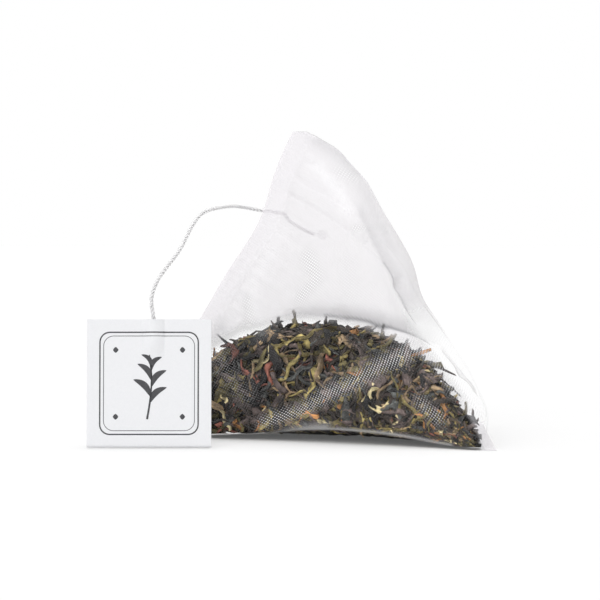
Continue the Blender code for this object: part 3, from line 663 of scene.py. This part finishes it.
def wrinkles(turns, v):
    """Small pulls that run out from the two welds and fade towards the middle."""
    near_upright = math.exp(-v / 0.10)
    near_floor = math.exp(-(1 - v) / 0.08)
    gathers = np.sin(turns * 2 * math.pi * 9 + 1.3) + 0.6 * np.sin(turns * 2 * math.pi * 17 + 0.4)
    slow = np.sin(turns * 7.3 + v * 9.1) + np.sin(turns * 11.9 - v * 6.2 + 2.0)
    ends = math.sin(math.pi * min(v / 0.04, 0.5)) * math.sin(math.pi * min((1 - v) / 0.04, 0.5))
    push = 0.00007 * (near_upright + near_floor) * gathers + 0.00010 * slow
    return push * ends


def film_grid(rows, columns):
    """Points and outward normals of the film, row by row from weld to weld."""
    turns = np.arange(columns) * 4 / columns
    grid = np.array([soften(section_ring(v, turns)) for v in rows])
    normals = grid_normals(grid)
    for index, v in enumerate(rows):
        push = (fold_push(turns, v) + wrinkles(turns, v))[:, None] * normals[index]
        clear = ramp(grid[index][:, 2], *CLEAR_OF_FLOOR)[:, None]
        grid[index] += push * clear
    return grid, normals


def add_film(material):
    turns = np.arange(FILM_COLUMNS) * 4 / FILM_COLUMNS
    body_rows = (1 - np.cos(np.linspace(0, math.pi, FILM_ROWS))) / 2 * 0.4
    body_rows += np.linspace(0, 1, FILM_ROWS) * 0.6
    grid, _ = film_grid(body_rows, FILM_COLUMNS)
    upright_fin = fin_rows(turns, UPRIGHT_SEAL_MIDDLE, UPRIGHT_DIRECTION, FOOT_DIRECTION, 0.0,
                           -TUBE_DIRECTION * FIN_WIDTH)
    floor_fin = fin_rows(turns, FLOOR_SEAL_MIDDLE, FOOT_DIRECTION, -UP, 1.0,
                         FLOOR_FIN_DIRECTION * FLOOR_FIN_WIDTH)
    rows = np.concatenate((upright_fin, grid, floor_fin[::-1]))
    steps = np.arange(1, FIN_STEPS + 1) / FIN_STEPS
    along = np.concatenate((-FIN_WIDTH * steps[::-1], body_rows * TUBE_LENGTH,
                            TUBE_LENGTH + FLOOR_FIN_WIDTH * steps))
    glow = np.exp(-np.minimum(body_rows, 1 - body_rows) / SEAL_GLOW)
    seal = np.concatenate((np.ones(FIN_STEPS), glow, np.ones(FIN_STEPS)))
    count = FILM_COLUMNS
    points = rows.reshape(-1, 3)
    faces = tube_faces(len(rows), count)
    item = add_piece("film", points, faces, material, replaces=("mesh_pouch",))
    mesh = item.data
    across = np.arange(count + 1) * 4 * SEAL_HALF / count
    corners = np.zeros((len(rows) - 1, count, 4, 2))
    corners[..., (0, 3), 0] = across[:-1, None]
    corners[..., (1, 2), 0] = across[1:, None]
    corners[..., (0, 1), 1] = along[:-1, None, None]
    corners[..., (2, 3), 1] = along[1:, None, None]
    mesh.uv_layers.new(name="weave").data.foreach_set("uv", corners.ravel())
    marks = np.stack((np.tile(turns * SEAL_HALF, len(along)), np.repeat(along, count)), axis=1)
    # dark, light and glint are painted shade and painted highlights on the film
    values = dict(zip(("dark", "light", "glint"), painted_shade_and_highlights(marks)))
    values["seal"] = np.repeat(seal, count)
    values["milk"] = milk_values(points, marks) * (1 - 0.35 * values["glint"])
    for name, value in values.items():
        attribute = mesh.attributes.new(name, "FLOAT", "POINT")
        attribute.data.foreach_set("value", value)
    return item


def tea_level(x, y):
    fall = TEA_FALL * (1 - gauss(y, TEA_PEAK_Y, TEA_FALL_REACH))
    return np.interp(x, TEA_PROFILE_X, TEA_PROFILE_Z) - fall


def heap_top(x, y):
    lump = TEA_LUMP * noise.noise(Vector((x, y, 0.0)) / TEA_LUMP_SIZE)
    return float(tea_level(x, y)) + lump


def floor_room(x, y):
    """The lowest height of the tea, a little higher along the middle of the front edge."""
    run = FRONT_FOOT - LEFT_FOOT
    inward = ((y - LEFT_FOOT[1]) * run[0] - (x - LEFT_FOOT[0]) * run[1]) / math.hypot(*run[:2])
    return FLOOR_SPACE + FRONT_ROOM * gauss(x, *FRONT_ROOM_PLACE) * ramp(inward, *FRONT_ROOM_REACH)


def leaf_arrays(centres, ways, normals, sizes, rng):
    """Rings of points for many curled leaves at once: bent, twisted and crumpled."""
    count = len(centres)
    sides = np.cross(normals, ways)
    lengths, widths, thicknesses, straight = (size[:, None] for size in sizes)
    share = np.linspace(-0.5, 0.5, LEAF_RINGS)
    loose = 1 - straight
    curl = rng.normal(0, 1.0, (count, 1)) * loose / lengths
    lift = rng.normal(0, 0.5, (count, 1)) * loose / lengths
    reach = share * lengths
    kink = 0.07 * lengths * np.sin(share * 9 + rng.uniform(0, 6.3, (count, 1)))
    spine = (centres[:, None] + reach[..., None] * ways[:, None]
             + (curl * reach ** 2 + kink * (0.3 + 0.7 * loose))[..., None] * sides[:, None]
             + (lift * (reach ** 2 - lengths ** 2 / 8))[..., None] * normals[:, None])
    turn = rng.uniform(0, math.pi, (count, 1))
    turn = turn + share * rng.normal(0, 3.0, (count, 1)) * loose
    body = np.sin(math.pi * (0.12 + 0.76 * (share + 0.5))) ** 0.4
    body = np.where(straight > 0.5, 0.75 + 0.25 * body, body)
    body = body * rng.uniform(0.72, 1.25, (count, LEAF_RINGS)) ** (0.4 + 0.6 * loose)
    angles = np.arange(LEAF_SIDES) * 2 * math.pi / LEAF_SIDES
    ragged = rng.uniform(0.70, 1.25, (count, LEAF_RINGS, LEAF_SIDES)) ** loose[..., None]
    wide = (widths * body)[..., None]
    flat = np.cos(angles) * wide * ragged
    deep = np.sin(angles) * (thicknesses * body)[..., None] * ragged
    fold = rng.uniform(0.1, 0.9, (count, 1, 1)) * loose[..., None]
    deep = deep + fold * np.abs(flat) - fold * wide * 0.4
    first = flat * np.cos(turn)[..., None] - deep * np.sin(turn)[..., None]
    second = flat * np.sin(turn)[..., None] + deep * np.cos(turn)[..., None]
    return (spine[:, :, None] + first[..., None] * sides[:, None, None]
            + second[..., None] * normals[:, None, None])


def leaf_faces(count):
    """Faces of one leaf's tube, repeated for each leaf."""
    tube = tube_faces(LEAF_RINGS, LEAF_SIDES)
    last = (LEAF_RINGS - 1) * LEAF_SIDES
    caps = [tuple(range(LEAF_SIDES))[::-1], tuple(last + side for side in range(LEAF_SIDES))]
    step = LEAF_RINGS * LEAF_SIDES
    faces = []
    for leaf in range(count):
        faces += [tuple(corner + leaf * step for corner in face) for face in tube + caps]
    return faces


# Leaf colours and how often each comes: near-black, brown, violet grey, grey green, olive,
# yellow green, tan, orange brown, brick red and cream
LEAF_TONES = np.array((
    (0.014, 0.013, 0.013), (0.050, 0.038, 0.030), (0.125, 0.094, 0.086), (0.075, 0.078, 0.074),
    (0.130, 0.108, 0.045), (0.270, 0.215, 0.080), (0.340, 0.240, 0.140), (0.420, 0.200, 0.070),
    (0.250, 0.092, 0.066), (0.700, 0.590, 0.330),
))
TONE_SHARES = np.array((0.17, 0.20, 0.14, 0.10, 0.14, 0.10, 0.07, 0.03, 0.025, 0.025))


def film_tree():
    """A search tree of the film, and the sign that turns its normals outwards."""
    grid, normals = film_grid(np.linspace(0.0, 1.0, 150), 300)
    rows, columns = grid.shape[:2]
    points = [Vector(point) for point in grid.reshape(-1, 3)]
    tree = BVHTree.FromPolygons(points, tube_faces(rows, columns))
    middle = rows // 2 * columns
    way = tree.find_nearest(points[middle])[1]
    return tree, 1.0 if way.dot(Vector(normals[rows // 2][0])) > 0 else -1.0


def keep_inside(points, space):
    """Move what would reach through the film back inside it: a corner takes more than one go."""
    left = range(len(points))
    for _ in range(INSIDE_ROUNDS):
        moved = []
        for index in left:
            point = Vector(points[index])
            place, way = FILM_TREE.find_nearest(point)[:2]
            out = (point - place).dot(way) * FILM_SIDE
            if out > -space:
                points[index] = point - way * FILM_SIDE * (out + space)
                moved.append(index)
        left = moved
    return points


def add_leaves(name, centres, ways, normals, sizes, rng, material, replaces=(), picks=None):
    count = len(centres)
    points = leaf_arrays(centres, ways, normals, sizes, rng)
    points[..., 0] = np.clip(points[..., 0], TEA_LEFT_END, TEA_RIGHT_END)
    above = points[..., 2] - tea_level(points[..., 0], points[..., 1]) - TIP_START
    rest = np.where(rng.uniform(0, 1, (count, 1, 1)) < LYING_SHARE, TIP_REST, STANDING_REST)
    points[..., 2] -= np.maximum(above, 0.0) * (1 - rest)
    points = keep_inside(points.reshape(-1, 3), FILM_SPACE)
    points[..., 2] = np.maximum(points[..., 2], floor_room(points[..., 0], points[..., 1]))
    item = add_piece(name, points.reshape(-1, 3), leaf_faces(count), material,
                     replaces=replaces)
    if picks is None:
        picks = rng.choice(len(LEAF_TONES), count, p=TONE_SHARES)
    tones = LEAF_TONES[picks] * rng.uniform(0.50, 1.15, (count, 1))
    streaks = rng.uniform(0.30, 1.70, (count, 1, LEAF_SIDES))
    streaks = streaks * rng.uniform(0.65, 1.35, (count, LEAF_RINGS, 1))
    colors = np.ones((count, LEAF_RINGS, LEAF_SIDES, 4))
    colors[..., :3] = tones[:, None, None] * streaks[..., None]
    attribute = item.data.attributes.new("leaf_color", "FLOAT_COLOR", "POINT")
    attribute.data.foreach_set("color", colors.ravel())


def unit(vectors):
    return vectors / np.linalg.norm(vectors, axis=1, keepdims=True)


def film_leaves(name, wall, count, depths, rng, material, replaces=()):
    """Leaves that lie against the inside of one wall of the pouch."""
    rows = np.linspace(0.03, 0.97, 150)
    columns = 400
    grid, normals = film_grid(rows, columns)
    low, high = wall
    centres = []
    outward = []
    while len(centres) < count:
        row = rng.integers(len(rows))
        v = rows[row]
        turn = (low(v) + (high(v) - low(v)) * rng.uniform()) % 4
        column = int(turn / 4 * columns) % columns
        place = grid[row, column]
        top = heap_top(place[0], place[1]) - 0.0004 + rng.normal(0, 0.0005)
        if place[2] > top:
            continue
        deep = place - normals[row, column] * rng.uniform(*depths)
        if deep[2] < FLOOR_SPACE + floor_room(deep[0], deep[1]):
            continue
        centres.append(deep)
        outward.append(normals[row, column])
    centres = np.array(centres)
    outward = np.array(outward)
    ways = unit(np.cross(outward, rng.normal(0, 1, (count, 3))))
    sizes = leaf_sizes(count, rng)
    add_leaves(name, centres, ways, outward, sizes, rng, material, replaces)


def leaf_sizes(count, rng):
    """Rolled leaves, broad crumpled flakes, thin twigs and crumbs."""
    kind = rng.uniform(0, 1, count)
    lengths = rng.gamma(4.0, 0.00095, count) + 0.0020
    widths = rng.uniform(0.00032, 0.00068, count)
    thicknesses = rng.uniform(0.00018, 0.00034, count)
    straight = np.zeros(count)
    flake = kind < 0.26
    widths = np.where(flake, rng.uniform(0.0007, 0.0013, count), widths)
    twig = kind > 0.91
    lengths = np.where(twig, rng.uniform(0.0035, 0.0075, count), lengths)
    widths = np.where(twig, rng.uniform(0.00016, 0.00027, count), widths)
    thicknesses = np.where(twig, widths, thicknesses)
    straight = np.where(twig, 0.8, straight)
    crumb = (kind > 0.75) & ~twig
    lengths = np.where(crumb, rng.uniform(0.0008, 0.0018, count), lengths)
    return np.minimum(lengths, LONGEST_LEAF), widths, thicknesses, straight


# Single pieces that show at the top and through the film: both ends seen from the front
# (x, z, x, z), how deep they lie under the film and half their width, all in millimetres, and colour
MARKED = (
    (-11.4, 17.4, -9.8, 13.0, 2.5, 0.42, 2), (-10.7, 16.2, -9.0, 14.2, 2.2, 0.30, 3),
    (-5.8, 20.2, -4.6, 16.6, 2.6, 0.38, 1), (-6.9, 18.4, -6.0, 16.0, 2.0, 0.34, 1),
    (-1.1, 19.9, 0.9, 16.6, 2.8, 0.62, 8), (1.2, 19.9, -0.4, 17.8, 3.4, 0.26, 2),
    (0.2, 18.0, 3.4, 19.6, 3.6, 0.28, 1), (2.9, 17.9, 2.2, 14.8, 2.6, 0.40, 3),
    (5.1, 18.7, 4.6, 16.5, 4.0, 0.32, 2), (5.9, 17.2, 9.6, 16.4, 3.2, 0.30, 6),
    (8.0, 16.4, 9.9, 18.2, 3.6, 0.24, 4), (9.3, 17.5, 13.4, 14.6, 3.0, 0.32, 2),
    (10.6, 14.2, 3.0, 10.6, 0.9, 0.55, 2), (9.0, 13.2, 4.2, 12.2, 1.1, 0.42, 1),
    (-5.1, 13.8, -4.3, 9.6, 0.8, 0.36, 6), (-4.3, 9.6, -2.9, 6.9, 0.8, 0.34, 6),
    (-2.6, 12.5, -0.8, 9.2, 1.4, 0.5, 1), (-8.9, 11.0, -6.2, 11.3, 1.0, 0.55, 7),
    (2.0, 15.2, 4.0, 12.7, 1.0, 0.55, 8), (0.1, 16.9, 1.9, 16.4, 1.2, 0.5, 5),
    (1.2, 10.6, 0.9, 10.9, 0.8, 0.55, 9), (-0.2, 9.9, 3.4, 5.3, 0.9, 0.45, 3),
    (0.9, 5.6, 2.2, 2.4, 0.8, 0.70, 5), (3.3, 8.2, 6.9, 5.8, 0.9, 0.60, 7),
    (10.9, 7.6, 14.9, 2.7, 0.8, 0.42, 5), (14.9, 2.9, 13.6, 7.8, 0.9, 0.34, 4),
    (9.6, 4.2, 14.2, 3.0, 0.9, 0.48, 7), (8.4, 3.4, 9.2, 6.6, 1.0, 0.40, 5),
    (17.0, 8.9, 17.9, 6.6, 0.9, 0.62, 9), (15.0, 6.4, 20.2, 6.9, 1.1, 0.42, 4),
    (15.5, 10.0, 19.6, 12.2, 1.2, 0.80, 2), (-15.8, 7.5, -13.6, 6.0, 0.8, 0.50, 9),
    (-14.2, 6.2, -13.0, 8.6, 0.8, 0.40, 9), (-12.8, 3.6, -9.8, 4.6, 0.9, 0.60, 5),
    (23.3, 3.0, 21.0, 6.4, 0.9, 0.40, 5), (24.6, 2.4, 22.4, 1.4, 0.8, 0.42, 7),
    (25.8, 3.6, 22.8, 4.6, 1.0, 0.34, 4), (-8.2, 7.6, -6.6, 10.4, 0.9, 0.46, 3),
)


def marked_leaves(name, rng, material):
    """The single pieces, each seated under the film at its own depth."""
    ends = []
    for x1, z1, x2, z2, depth, width, _ in MARKED:
        pair = []
        for x, z in ((x1, z1), (x2, z2)):
            hit = FILM_TREE.ray_cast(Vector((x / 1000, -0.06, z / 1000)), Vector((0, 1, 0)))[0]
            y = (hit.y if hit else HEAP_CENTRE[1]) + depth / 1000 + width / 1000
            pair.append((x / 1000, y, z / 1000))
        ends.append(pair)
    ends = np.array(ends)
    ways = ends[:, 1] - ends[:, 0]
    lengths = np.linalg.norm(ways, axis=1) + 0.0006
    ways = unit(ways)
    normals = unit(np.cross(ways, np.cross((0.0, -1.0, 0.15), ways)))
    widths = np.array(MARKED)[:, 5] / 1000
    sizes = (lengths, widths, widths * 0.6, np.where(widths < 0.00040, 0.6, 0.2))
    picks = np.array(MARKED)[:, 6].astype(int)
    add_leaves(name, ends.mean(axis=1), ways, normals, sizes, rng, material, picks=picks)


def top_leaves(name, count, rng, material, replaces):
    """Leaves and stems on the heap, some of them standing up out of it."""
    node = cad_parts["tea_heap"].data
    rim = np.array([vertex.co for vertex in node.vertices])
    high = rim[rim[:, 2] > 0.0031]
    centres = high[rng.integers(len(high), size=count)] + rng.normal(0, 0.0012, (count, 3))
    for centre in centres:
        level = heap_top(centre[0], centre[1]) + rng.uniform(-0.0006, 0.0006)
        centre[2] = max(level, 0.0010)
    ways = unit(np.stack((rng.normal(0, 1, count), rng.normal(0, 1, count),
                          rng.normal(0, 0.45, count)), axis=1))
    side = unit(np.cross(ways, rng.normal(0, 0.3, (count, 3)) + np.array((0, 0, 1.0))))
    normals = np.cross(side, ways)
    sizes = leaf_sizes(count, rng)
    add_leaves(name, centres, ways, normals, sizes, rng, material, replaces)


def add_core(material):
    """The inside of the heap: a crumbly mass that shows only between the leaves."""
    bm = finer_solid("tea_heap")
    for vertex in bm.verts:
        rough = noise.fractal(vertex.co / 0.0016, 1.0, 2.0, 3)
        vertex.co += vertex.normal * 0.0006 * rough
        vertex.co.z = min(vertex.co.z, heap_top(vertex.co.x, vertex.co.y) - 0.0008)
        vertex.co.z = max(vertex.co.z, float(floor_room(*vertex.co.xy)) + 0.0002)
    seat_mesh(mesh_from(bm, "tea_core"), material, False, ("tea_heap",))


def add_string(material):
    """Three plies laid round each other, along the part's own route."""
    route = smooth_route(STRING_POINTS, STRING_FINENESS)
    sides = STRING_SIDES
    ply_radius = STRING_DIAMETER * 0.27
    ways = unit(np.gradient(route, axis=0))
    side = unit(np.cross(ways, (0.31, 0.87, 0.38)))
    other = np.cross(ways, side)
    marks = running_length(route)
    angles = np.arange(sides)[:, None] * 2 * math.pi / sides
    rings = side[:, None] * np.cos(angles) + other[:, None] * np.sin(angles)
    points = []
    faces = []
    for ply in range(STRING_PLIES):
        phase = (marks / STRING_LAY + ply / STRING_PLIES)[:, None] * 2 * math.pi
        axis = route + (STRING_DIAMETER / 2 - ply_radius) * (
            side * np.cos(phase) + other * np.sin(phase))
        base = len(points)
        points += list((axis[:, None] + ply_radius * rings).reshape(-1, 3))
        faces += tube_faces(len(route), sides, base)
        end = len(points) - sides
        faces.append(tuple(base + corner for corner in range(sides))[::-1])
        faces.append(tuple(end + corner for corner in range(sides)))
    item = add_piece("string_cord", points, faces, material,
                     replaces=("string",))
    return item, route, marks[-1]


def tag_frame(x, y, z):
    """A place on the tag, from tag coordinates, in the part's frame."""
    lean = Matrix.Rotation(-TAG_LEAN, 4, "X")
    lift = math.sin(TAG_LEAN) * (TAG_SLIT / 2 + TAG_PLY)
    return Matrix.Translation((STRING_X, TAG_Y, lift)) @ lean @ Vector((x, y, z))


def tag_half_gap(x, z):
    """Half the room between the plies, wider where the string lies between them."""
    across = max(0.0, math.cos(math.pi * min(abs(x) / TAG_BOW_WIDTH, 0.5)))
    up = ramp(np.array(z), TAG_HEIGHT - TAG_BOW_LENGTH, TAG_HEIGHT - TAG_BOW_LENGTH * 0.5)
    return TAG_SLIT / 2 + TAG_BOW * across * float(up)


def add_tag(material):
    """One card folded over at the bottom edge, its plies bowed round the string."""
    left = TAG_X - STRING_X - TAG_WIDTH / 2
    columns = 57
    fold_steps = 6
    levels = [TAG_HEIGHT * (1 - step / 40) for step in range(40)]
    levels = [z for z in levels if z > TAG_SLIT / 2 + TAG_PLY]
    bm = bmesh.new()
    rings = []
    for column in range(columns):
        x = left + TAG_WIDTH * column / (columns - 1)
        loop = []
        for outward, direction in ((TAG_PLY, 1), (0.0, -1)):
            path = []
            for z in levels:
                path.append((tag_half_gap(x, z) + outward, z))
            radius = TAG_SLIT / 2 + outward
            middle = TAG_SLIT / 2 + TAG_PLY
            for step in range(1, fold_steps):
                angle = math.pi / 2 * step / fold_steps
                path.append((radius * math.cos(angle), middle - radius * math.sin(angle)))
            path.append((0.0, middle - radius))
            full = path + [(-y, z) for y, z in reversed(path[:-1])]
            loop += full[::direction]
        rings.append([bm.verts.new(tag_frame(x, y, z)) for y, z in loop])
    for low, high in zip(rings, rings[1:]):
        for index in range(len(low)):
            after = (index + 1) % len(low)
            bm.faces.new((low[index], low[after], high[after], high[index]))
    for ring in (rings[0], rings[-1]):
        half = len(ring) // 2
        for index in range(half - 1):
            bm.faces.new((ring[index], ring[index + 1], ring[-2 - index], ring[-1 - index]))
    bmesh.ops.recalc_face_normals(bm, faces=bm.faces)
    return seat_mesh(mesh_from(bm, "folded_tag"), material, False, ("tag",))


def print_face(x, z):
    """A place just in front of the tag's face, x from its middle and z from its foot."""
    tag_x = x + TAG_X - STRING_X
    return tag_frame(tag_x, -(tag_half_gap(tag_x, z) + TAG_PLY + PRINT_LIFT), z)


def stroke(points, faces, line, widths):
    """A flat printed stroke along a line of places on the tag."""
    line = np.array(line)
    ways = np.vstack((line[1] - line[0], line[2:] - line[:-2], line[-1] - line[-2]))
    sides = unit(np.stack((-ways[:, 1], ways[:, 0]), axis=1)) * np.array(widths)[:, None] / 2
    base = len(points)
    for place, side in zip(line, sides):
        points += [print_face(*(place - side)), print_face(*(place + side))]
    faces += [(low, low + 1, low + 3, low + 2) for low in range(base, len(points) - 2, 2)]


def add_print(material):
    """A double border, a sprig of leaves and four dots, printed on the tag's front."""
    points = []
    faces = []
    middle_z = TAG_HEIGHT * 0.5
    corner = BORDER_CORNER
    for inset, width in BORDERS:
        half = TAG_WIDTH / 2 - inset
        tall = TAG_HEIGHT / 2 - inset
        line = []
        for quarter, (right, up) in enumerate(((1, 1), (-1, 1), (-1, -1), (1, -1))):
            x = right * (half - corner)
            z = middle_z + up * (tall - corner)
            for step in range(9):
                angle = math.radians(quarter * 90 + step * 90 / 8)
                line.append((x + corner * math.cos(angle), z + corner * math.sin(angle)))
        line.append(line[0])
        fine = []
        for first, second in zip(line, line[1:]):
            steps = max(1, round(math.dist(first, second) / PRINT_STEP))
            fine += [tuple(place) for place in np.linspace(first, second, steps, endpoint=False)]
        fine.append(line[0])
        stroke(points, faces, fine, [width] * len(fine))
    rise = np.linspace(0.0, 1.0, 21)
    stem = np.stack((0.0007 * np.sin(2.6 * rise) - 0.0003, middle_z - 0.0058 + 0.0104 * rise), axis=1)
    stroke(points, faces, stem, 0.00034 - 0.00016 * rise)
    share = np.linspace(0.0, 1.0, 15)
    arch = np.sin(math.pi * share)
    for place, side, length in SPRIG:
        angle = math.radians(90 - side * (52 - place))
        bend = -0.0006 * side * arch
        x = stem[place, 0] + length * share * math.cos(angle) + bend * math.sin(angle)
        z = stem[place, 1] + length * share * math.sin(angle) - bend * math.cos(angle)
        stroke(points, faces, np.stack((x, z), axis=1), 0.00008 + 0.25 * length * arch ** 0.8)
    share = np.linspace(0.0, 1.0, 9)
    for x in (-DOT_PLACE, DOT_PLACE):
        for z in (middle_z - DOT_PLACE, middle_z + DOT_PLACE):
            line = [(x + DOT_SIZE * (part - 0.5), z) for part in share]
            stroke(points, faces, line, 0.00002 + DOT_SIZE * np.sin(math.pi * share))
    return add_piece("tag_print", points, faces, material, smooth=False)


def add_tack(material):
    """A melted spot of film, a little uneven, which holds the string's end."""
    bm = finer_solid("string_tack")
    for vertex in bm.verts:
        vertex.co += vertex.normal * 0.00008 * noise.noise(vertex.co / 0.00035)
    seat_mesh(mesh_from(bm, "melted_tack"), material, replaces=("string_tack",))


def add_camera():
    data = bpy.data.cameras.new("camera")
    data.sensor_fit = "HORIZONTAL"
    data.lens = CAMERA_FOCAL_PIXELS / PHOTO_PIXELS * data.sensor_width
    data.clip_start = 0.01
    data.clip_end = 20.0
    item = new_object("camera", data)
    target = Vector(CAMERA_TARGET)
    back = Vector((0.0, -math.cos(CAMERA_ELEVATION), math.sin(CAMERA_ELEVATION)))
    item.location = target + back * CAMERA_DISTANCE
    item.rotation_euler = (-back).to_track_quat("-Z", "Y").to_euler()
    bpy.context.scene.camera = item


def add_sun(name, place, softness, strength):
    data = bpy.data.lights.new(name, "SUN")
    data.angle = math.radians(softness)
    data.energy = strength
    item = new_object(name, data)
    item.rotation_euler = (-Vector(place)).to_track_quat("-Z", "Y").to_euler()


def seen_share(tree):
    """1 for the camera, glossy and see-through rays, 0 for the light that falls on things."""
    path = add_node(tree, "ShaderNodeLightPath").outputs
    seen = math_node(tree, "MAXIMUM", path["Is Camera Ray"], path["Is Glossy Ray"])
    return math_node(tree, "MAXIMUM", seen, path["Is Transmission Ray"])


def white_where_seen(tree, shader_output, white):
    """Add white light for the rays of seen_share only."""
    glow = add_node(tree, "ShaderNodeEmission")
    glow.inputs["Color"].default_value = (1.0, 1.0, 1.0, 1.0)
    tree.links.new(math_node(tree, "MULTIPLY", seen_share(tree), white), glow.inputs["Strength"])
    both = add_node(tree, "ShaderNodeAddShader")
    tree.links.new(shader_output, both.inputs[0])
    tree.links.new(glow.outputs[0], both.inputs[1])
    return both.outputs[0]


def add_floor():
    mesh = bpy.data.meshes.new("floor")
    corners = [(x * FLOOR_REACH, y * FLOOR_REACH, 0) for x, y in ((-1, -1), (1, -1), (1, 1), (-1, 1))]
    mesh.from_pydata(corners, [], [(0, 1, 2, 3)])
    material, tree, shader = nodes_of("floor")
    shader.inputs["Base Color"].default_value = (0.80, 0.80, 0.80, 1.0)
    shader.inputs["Roughness"].default_value = 0.9
    shader.inputs["Specular IOR Level"].default_value = 0.0
    output = tree.nodes["Material Output"]
    tree.links.new(white_where_seen(tree, shader.outputs[0], FLOOR_WHITE), output.inputs["Surface"])
    mesh.materials.append(material)
    item = new_object("floor", mesh)
    item.location.z = -FLOOR_DROP


def add_world():
    world = bpy.data.worlds.new("world")
    bpy.context.scene.world = world
    world.use_nodes = True
    tree = world.node_tree
    sky = tree.nodes["Background"]
    extra = math_node(tree, "MULTIPLY", seen_share(tree), 1.0 - WORLD_LIGHT)
    tree.links.new(math_node(tree, "ADD", extra, WORLD_LIGHT), sky.inputs["Strength"])
    sky.inputs["Color"].default_value = (1.0, 1.0, 1.0, 1.0)


add_camera()
cotton = plain_material("cotton", (0.80, 0.79, 0.80), (0.93, 0.92, 0.93), 3000.0, 0.85, 0.0001)
let_light_through(cotton, 0.8, 0.0008)
card = plain_material("card", (0.800, 0.805, 0.824), (0.824, 0.828, 0.846), 3200.0, 0.6, 0.00002)
cord, cord_path, cord_length = add_string(cotton)
tag = add_tag(card)
ink = plain_material("ink", (0.03, 0.03, 0.035), (0.05, 0.05, 0.055), 2000.0, 0.5, 0.00001)
tag_print = add_print(ink)
film = add_film(film_material())
leaf = leaf_material()
FILM_TREE, FILM_SIDE = film_tree()
rng = np.random.default_rng(LEAF_SEED)
# The front wall with what shows beside it, and the back wall: the turns between which they lie at v
front = (lambda v: v - 0.06, lambda v: 2 - v + 0.10)
back = (lambda v: 2 + v - 0.05, lambda v: 4 - v)
wall_nodes = [f"leaf_{number:02d}" for number in range(1, 27)]
top_nodes = [f"stem_{number:02d}" for number in range(1, 17)]
film_leaves("tea_front", front, FRONT_LEAVES, FRONT_DEPTHS, rng, leaf, replaces=wall_nodes)
film_leaves("tea_back", back, BACK_LEAVES, BACK_DEPTHS, rng, leaf)
top_leaves("tea_top", TOP_LEAVES, rng, leaf, top_nodes)
marked_leaves("tea_sticks", rng, leaf)
mass = plain_material("tea_mass", (0.012, 0.011, 0.010), (0.05, 0.042, 0.035), 1800.0, 0.8, 0.0004)
add_core(mass)
melted = plain_material("melted_film", (0.84, 0.83, 0.85), (0.90, 0.89, 0.91), 1200.0, 0.35,
                        0.00004)
melted.node_tree.nodes["Principled BSDF"].inputs["Alpha"].default_value = 0.30
add_tack(melted)
add_world()
add_floor()
add_sun("key", (-0.02, 0.12, 1.0), 60.0, 1.6)
add_sun("fill", (-0.3, -1.0, 0.5), 50.0, 1.1)

scene = bpy.context.scene
scene.view_settings.view_transform = "Standard"
